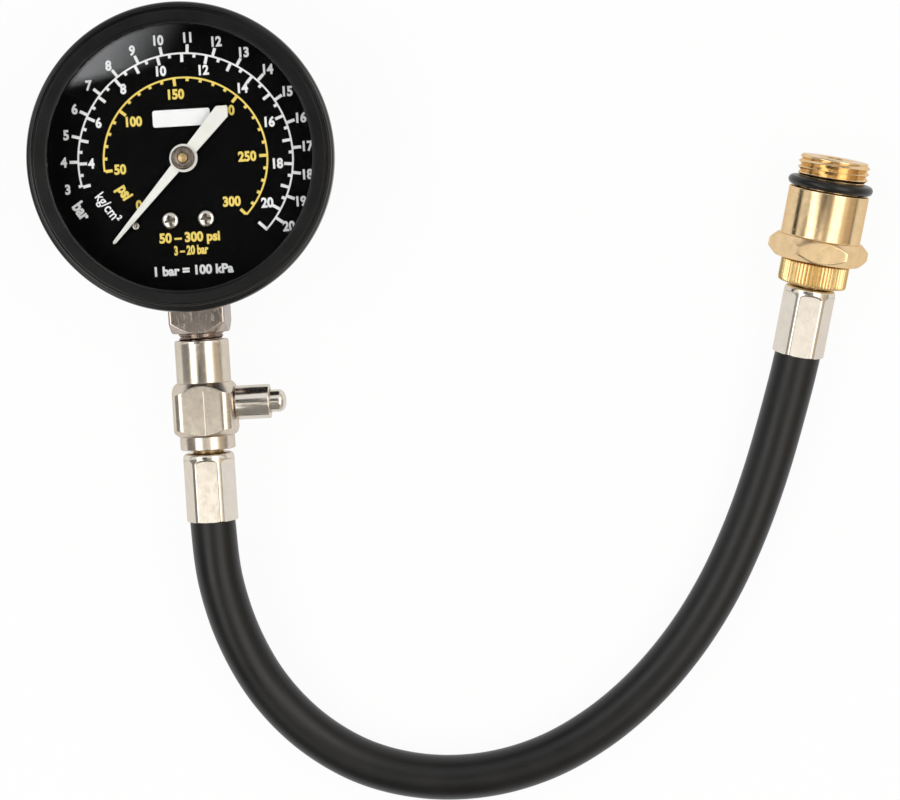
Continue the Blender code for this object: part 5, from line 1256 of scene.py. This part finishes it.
def addPanel():
    height = studio["panelHeight"]
    mesh = bpy.data.meshes.new("panel")
    mesh.from_pydata([(x, y, height) for x, y in panel], [], [(3, 2, 1, 0)])
    material, tree = newFinish("panel")
    spot = put(tree, "ShaderNodeSeparateXYZ", {0: put(tree, "ShaderNodeTexCoord").outputs["Object"]}).outputs
    # Crisp along its lower edge, fading slowly to the right
    (cornerX, cornerY), (farX, farY), _, (leftX, leftY) = panel
    rise, slant = (cornerY - leftY) / (cornerX - leftX), (farX - cornerX) / (farY - cornerY)
    fromX, fromY = calc(tree, "SUBTRACT", spot["X"], cornerX), calc(tree, "SUBTRACT", spot["Y"], cornerY)
    above = calc(tree, "SUBTRACT", fromY, calc(tree, "MULTIPLY", fromX, rise))
    inward = calc(tree, "SUBTRACT", calc(tree, "MULTIPLY", fromY, slant), fromX)
    away = [calc(tree, "POWER", calc(tree, "SUBTRACT", spot[axis], middle), 2.0)
            for axis, middle in zip("XY", lensView["centre"])]
    reach = calc(tree, "SQRT", calc(tree, "ADD", *away))
    edges = calc(tree, "MULTIPLY", ranged(tree, above, 0.0, 0.008, kind="SMOOTHSTEP"),
                 ranged(tree, inward, 0.0, 0.055, kind="SMOOTHSTEP"))
    edges = calc(tree, "MULTIPLY", edges, ranged(tree, reach, lensView["radius"] + 0.004, lensView["radius"]))
    strength = calc(tree, "MULTIPLY", edges, ranged(tree, spot["X"], -0.23, -0.14, 3.6, 2.6))
    glow = put(tree, "ShaderNodeEmission", {"Color": colour(0.97, 0.98, 1.0), "Strength": strength}).outputs[0]
    put(tree, "ShaderNodeOutputMaterial", {"Surface": glow})
    mesh.materials.append(material)
    onlyReflected(newObject("panel", mesh))


def onlyReflected(piece):
    piece.visible_camera = piece.visible_diffuse = piece.visible_shadow = False


def addDome():
    # Only reflections see the dome: dim overhead, warm on the right, pale behind the gauge
    shape = bmesh.new()
    bmesh.ops.create_uvsphere(shape, u_segments=48, v_segments=24, radius=studio["domeRadius"])
    bmesh.ops.delete(shape, geom=[v for v in shape.verts if v.co.z < -0.3], context="VERTS")
    mesh = bpy.data.meshes.new("dome")
    shape.to_mesh(mesh)
    shape.free()
    material, tree = newFinish("dome")
    spot = put(tree, "ShaderNodeSeparateXYZ", {0: put(tree, "ShaderNodeTexCoord").outputs["Object"]}).outputs
    across = calc(tree, "ARCTAN2", spot["X"], spot["Z"])
    ahead = calc(tree, "ARCTAN2", spot["Y"], spot["Z"])
    shade, horizon = colour(0.29, 0.28, 0.26), colour(0.34, 0.32, 0.29)
    for (west, east), (south, north), soft, tint in patches:
        share = calc(tree, "MULTIPLY", band(tree, across, west, east, soft), band(tree, ahead, south, north, soft))
        shade = mixed(tree, share, shade, colour(*tint))
    shade = mixed(tree, ranged(tree, spot["Z"], 0.30, 0.12, kind="SMOOTHSTEP"), shade, horizon)
    glow = put(tree, "ShaderNodeEmission", {"Color": shade, "Strength": 1.0}).outputs[0]
    put(tree, "ShaderNodeOutputMaterial", {"Surface": glow})
    mesh.materials.append(material)
    onlyReflected(newObject("dome", mesh))


def addWorld():
    world = bpy.data.worlds.new("studio")
    world.use_nodes = True
    scene.world = world
    tree = world.node_tree
    tree.nodes.clear()
    strength = ranged(tree, seenAsWhite(tree), 0.0, 1.0, studio["fill"], 1.0)
    light = put(tree, "ShaderNodeBackground", {"Color": colour(1, 1, 1), "Strength": strength}).outputs[0]
    put(tree, "ShaderNodeOutputWorld", {"Surface": light})


addFloor()
addDome()
addPanel()
addWorld()
addLamp("leftBox", studio["left"], (0.05, -0.06, 0.02))
addLamp("rightBox", studio["right"], (0.05, -0.06, 0.02))
print("studio set")
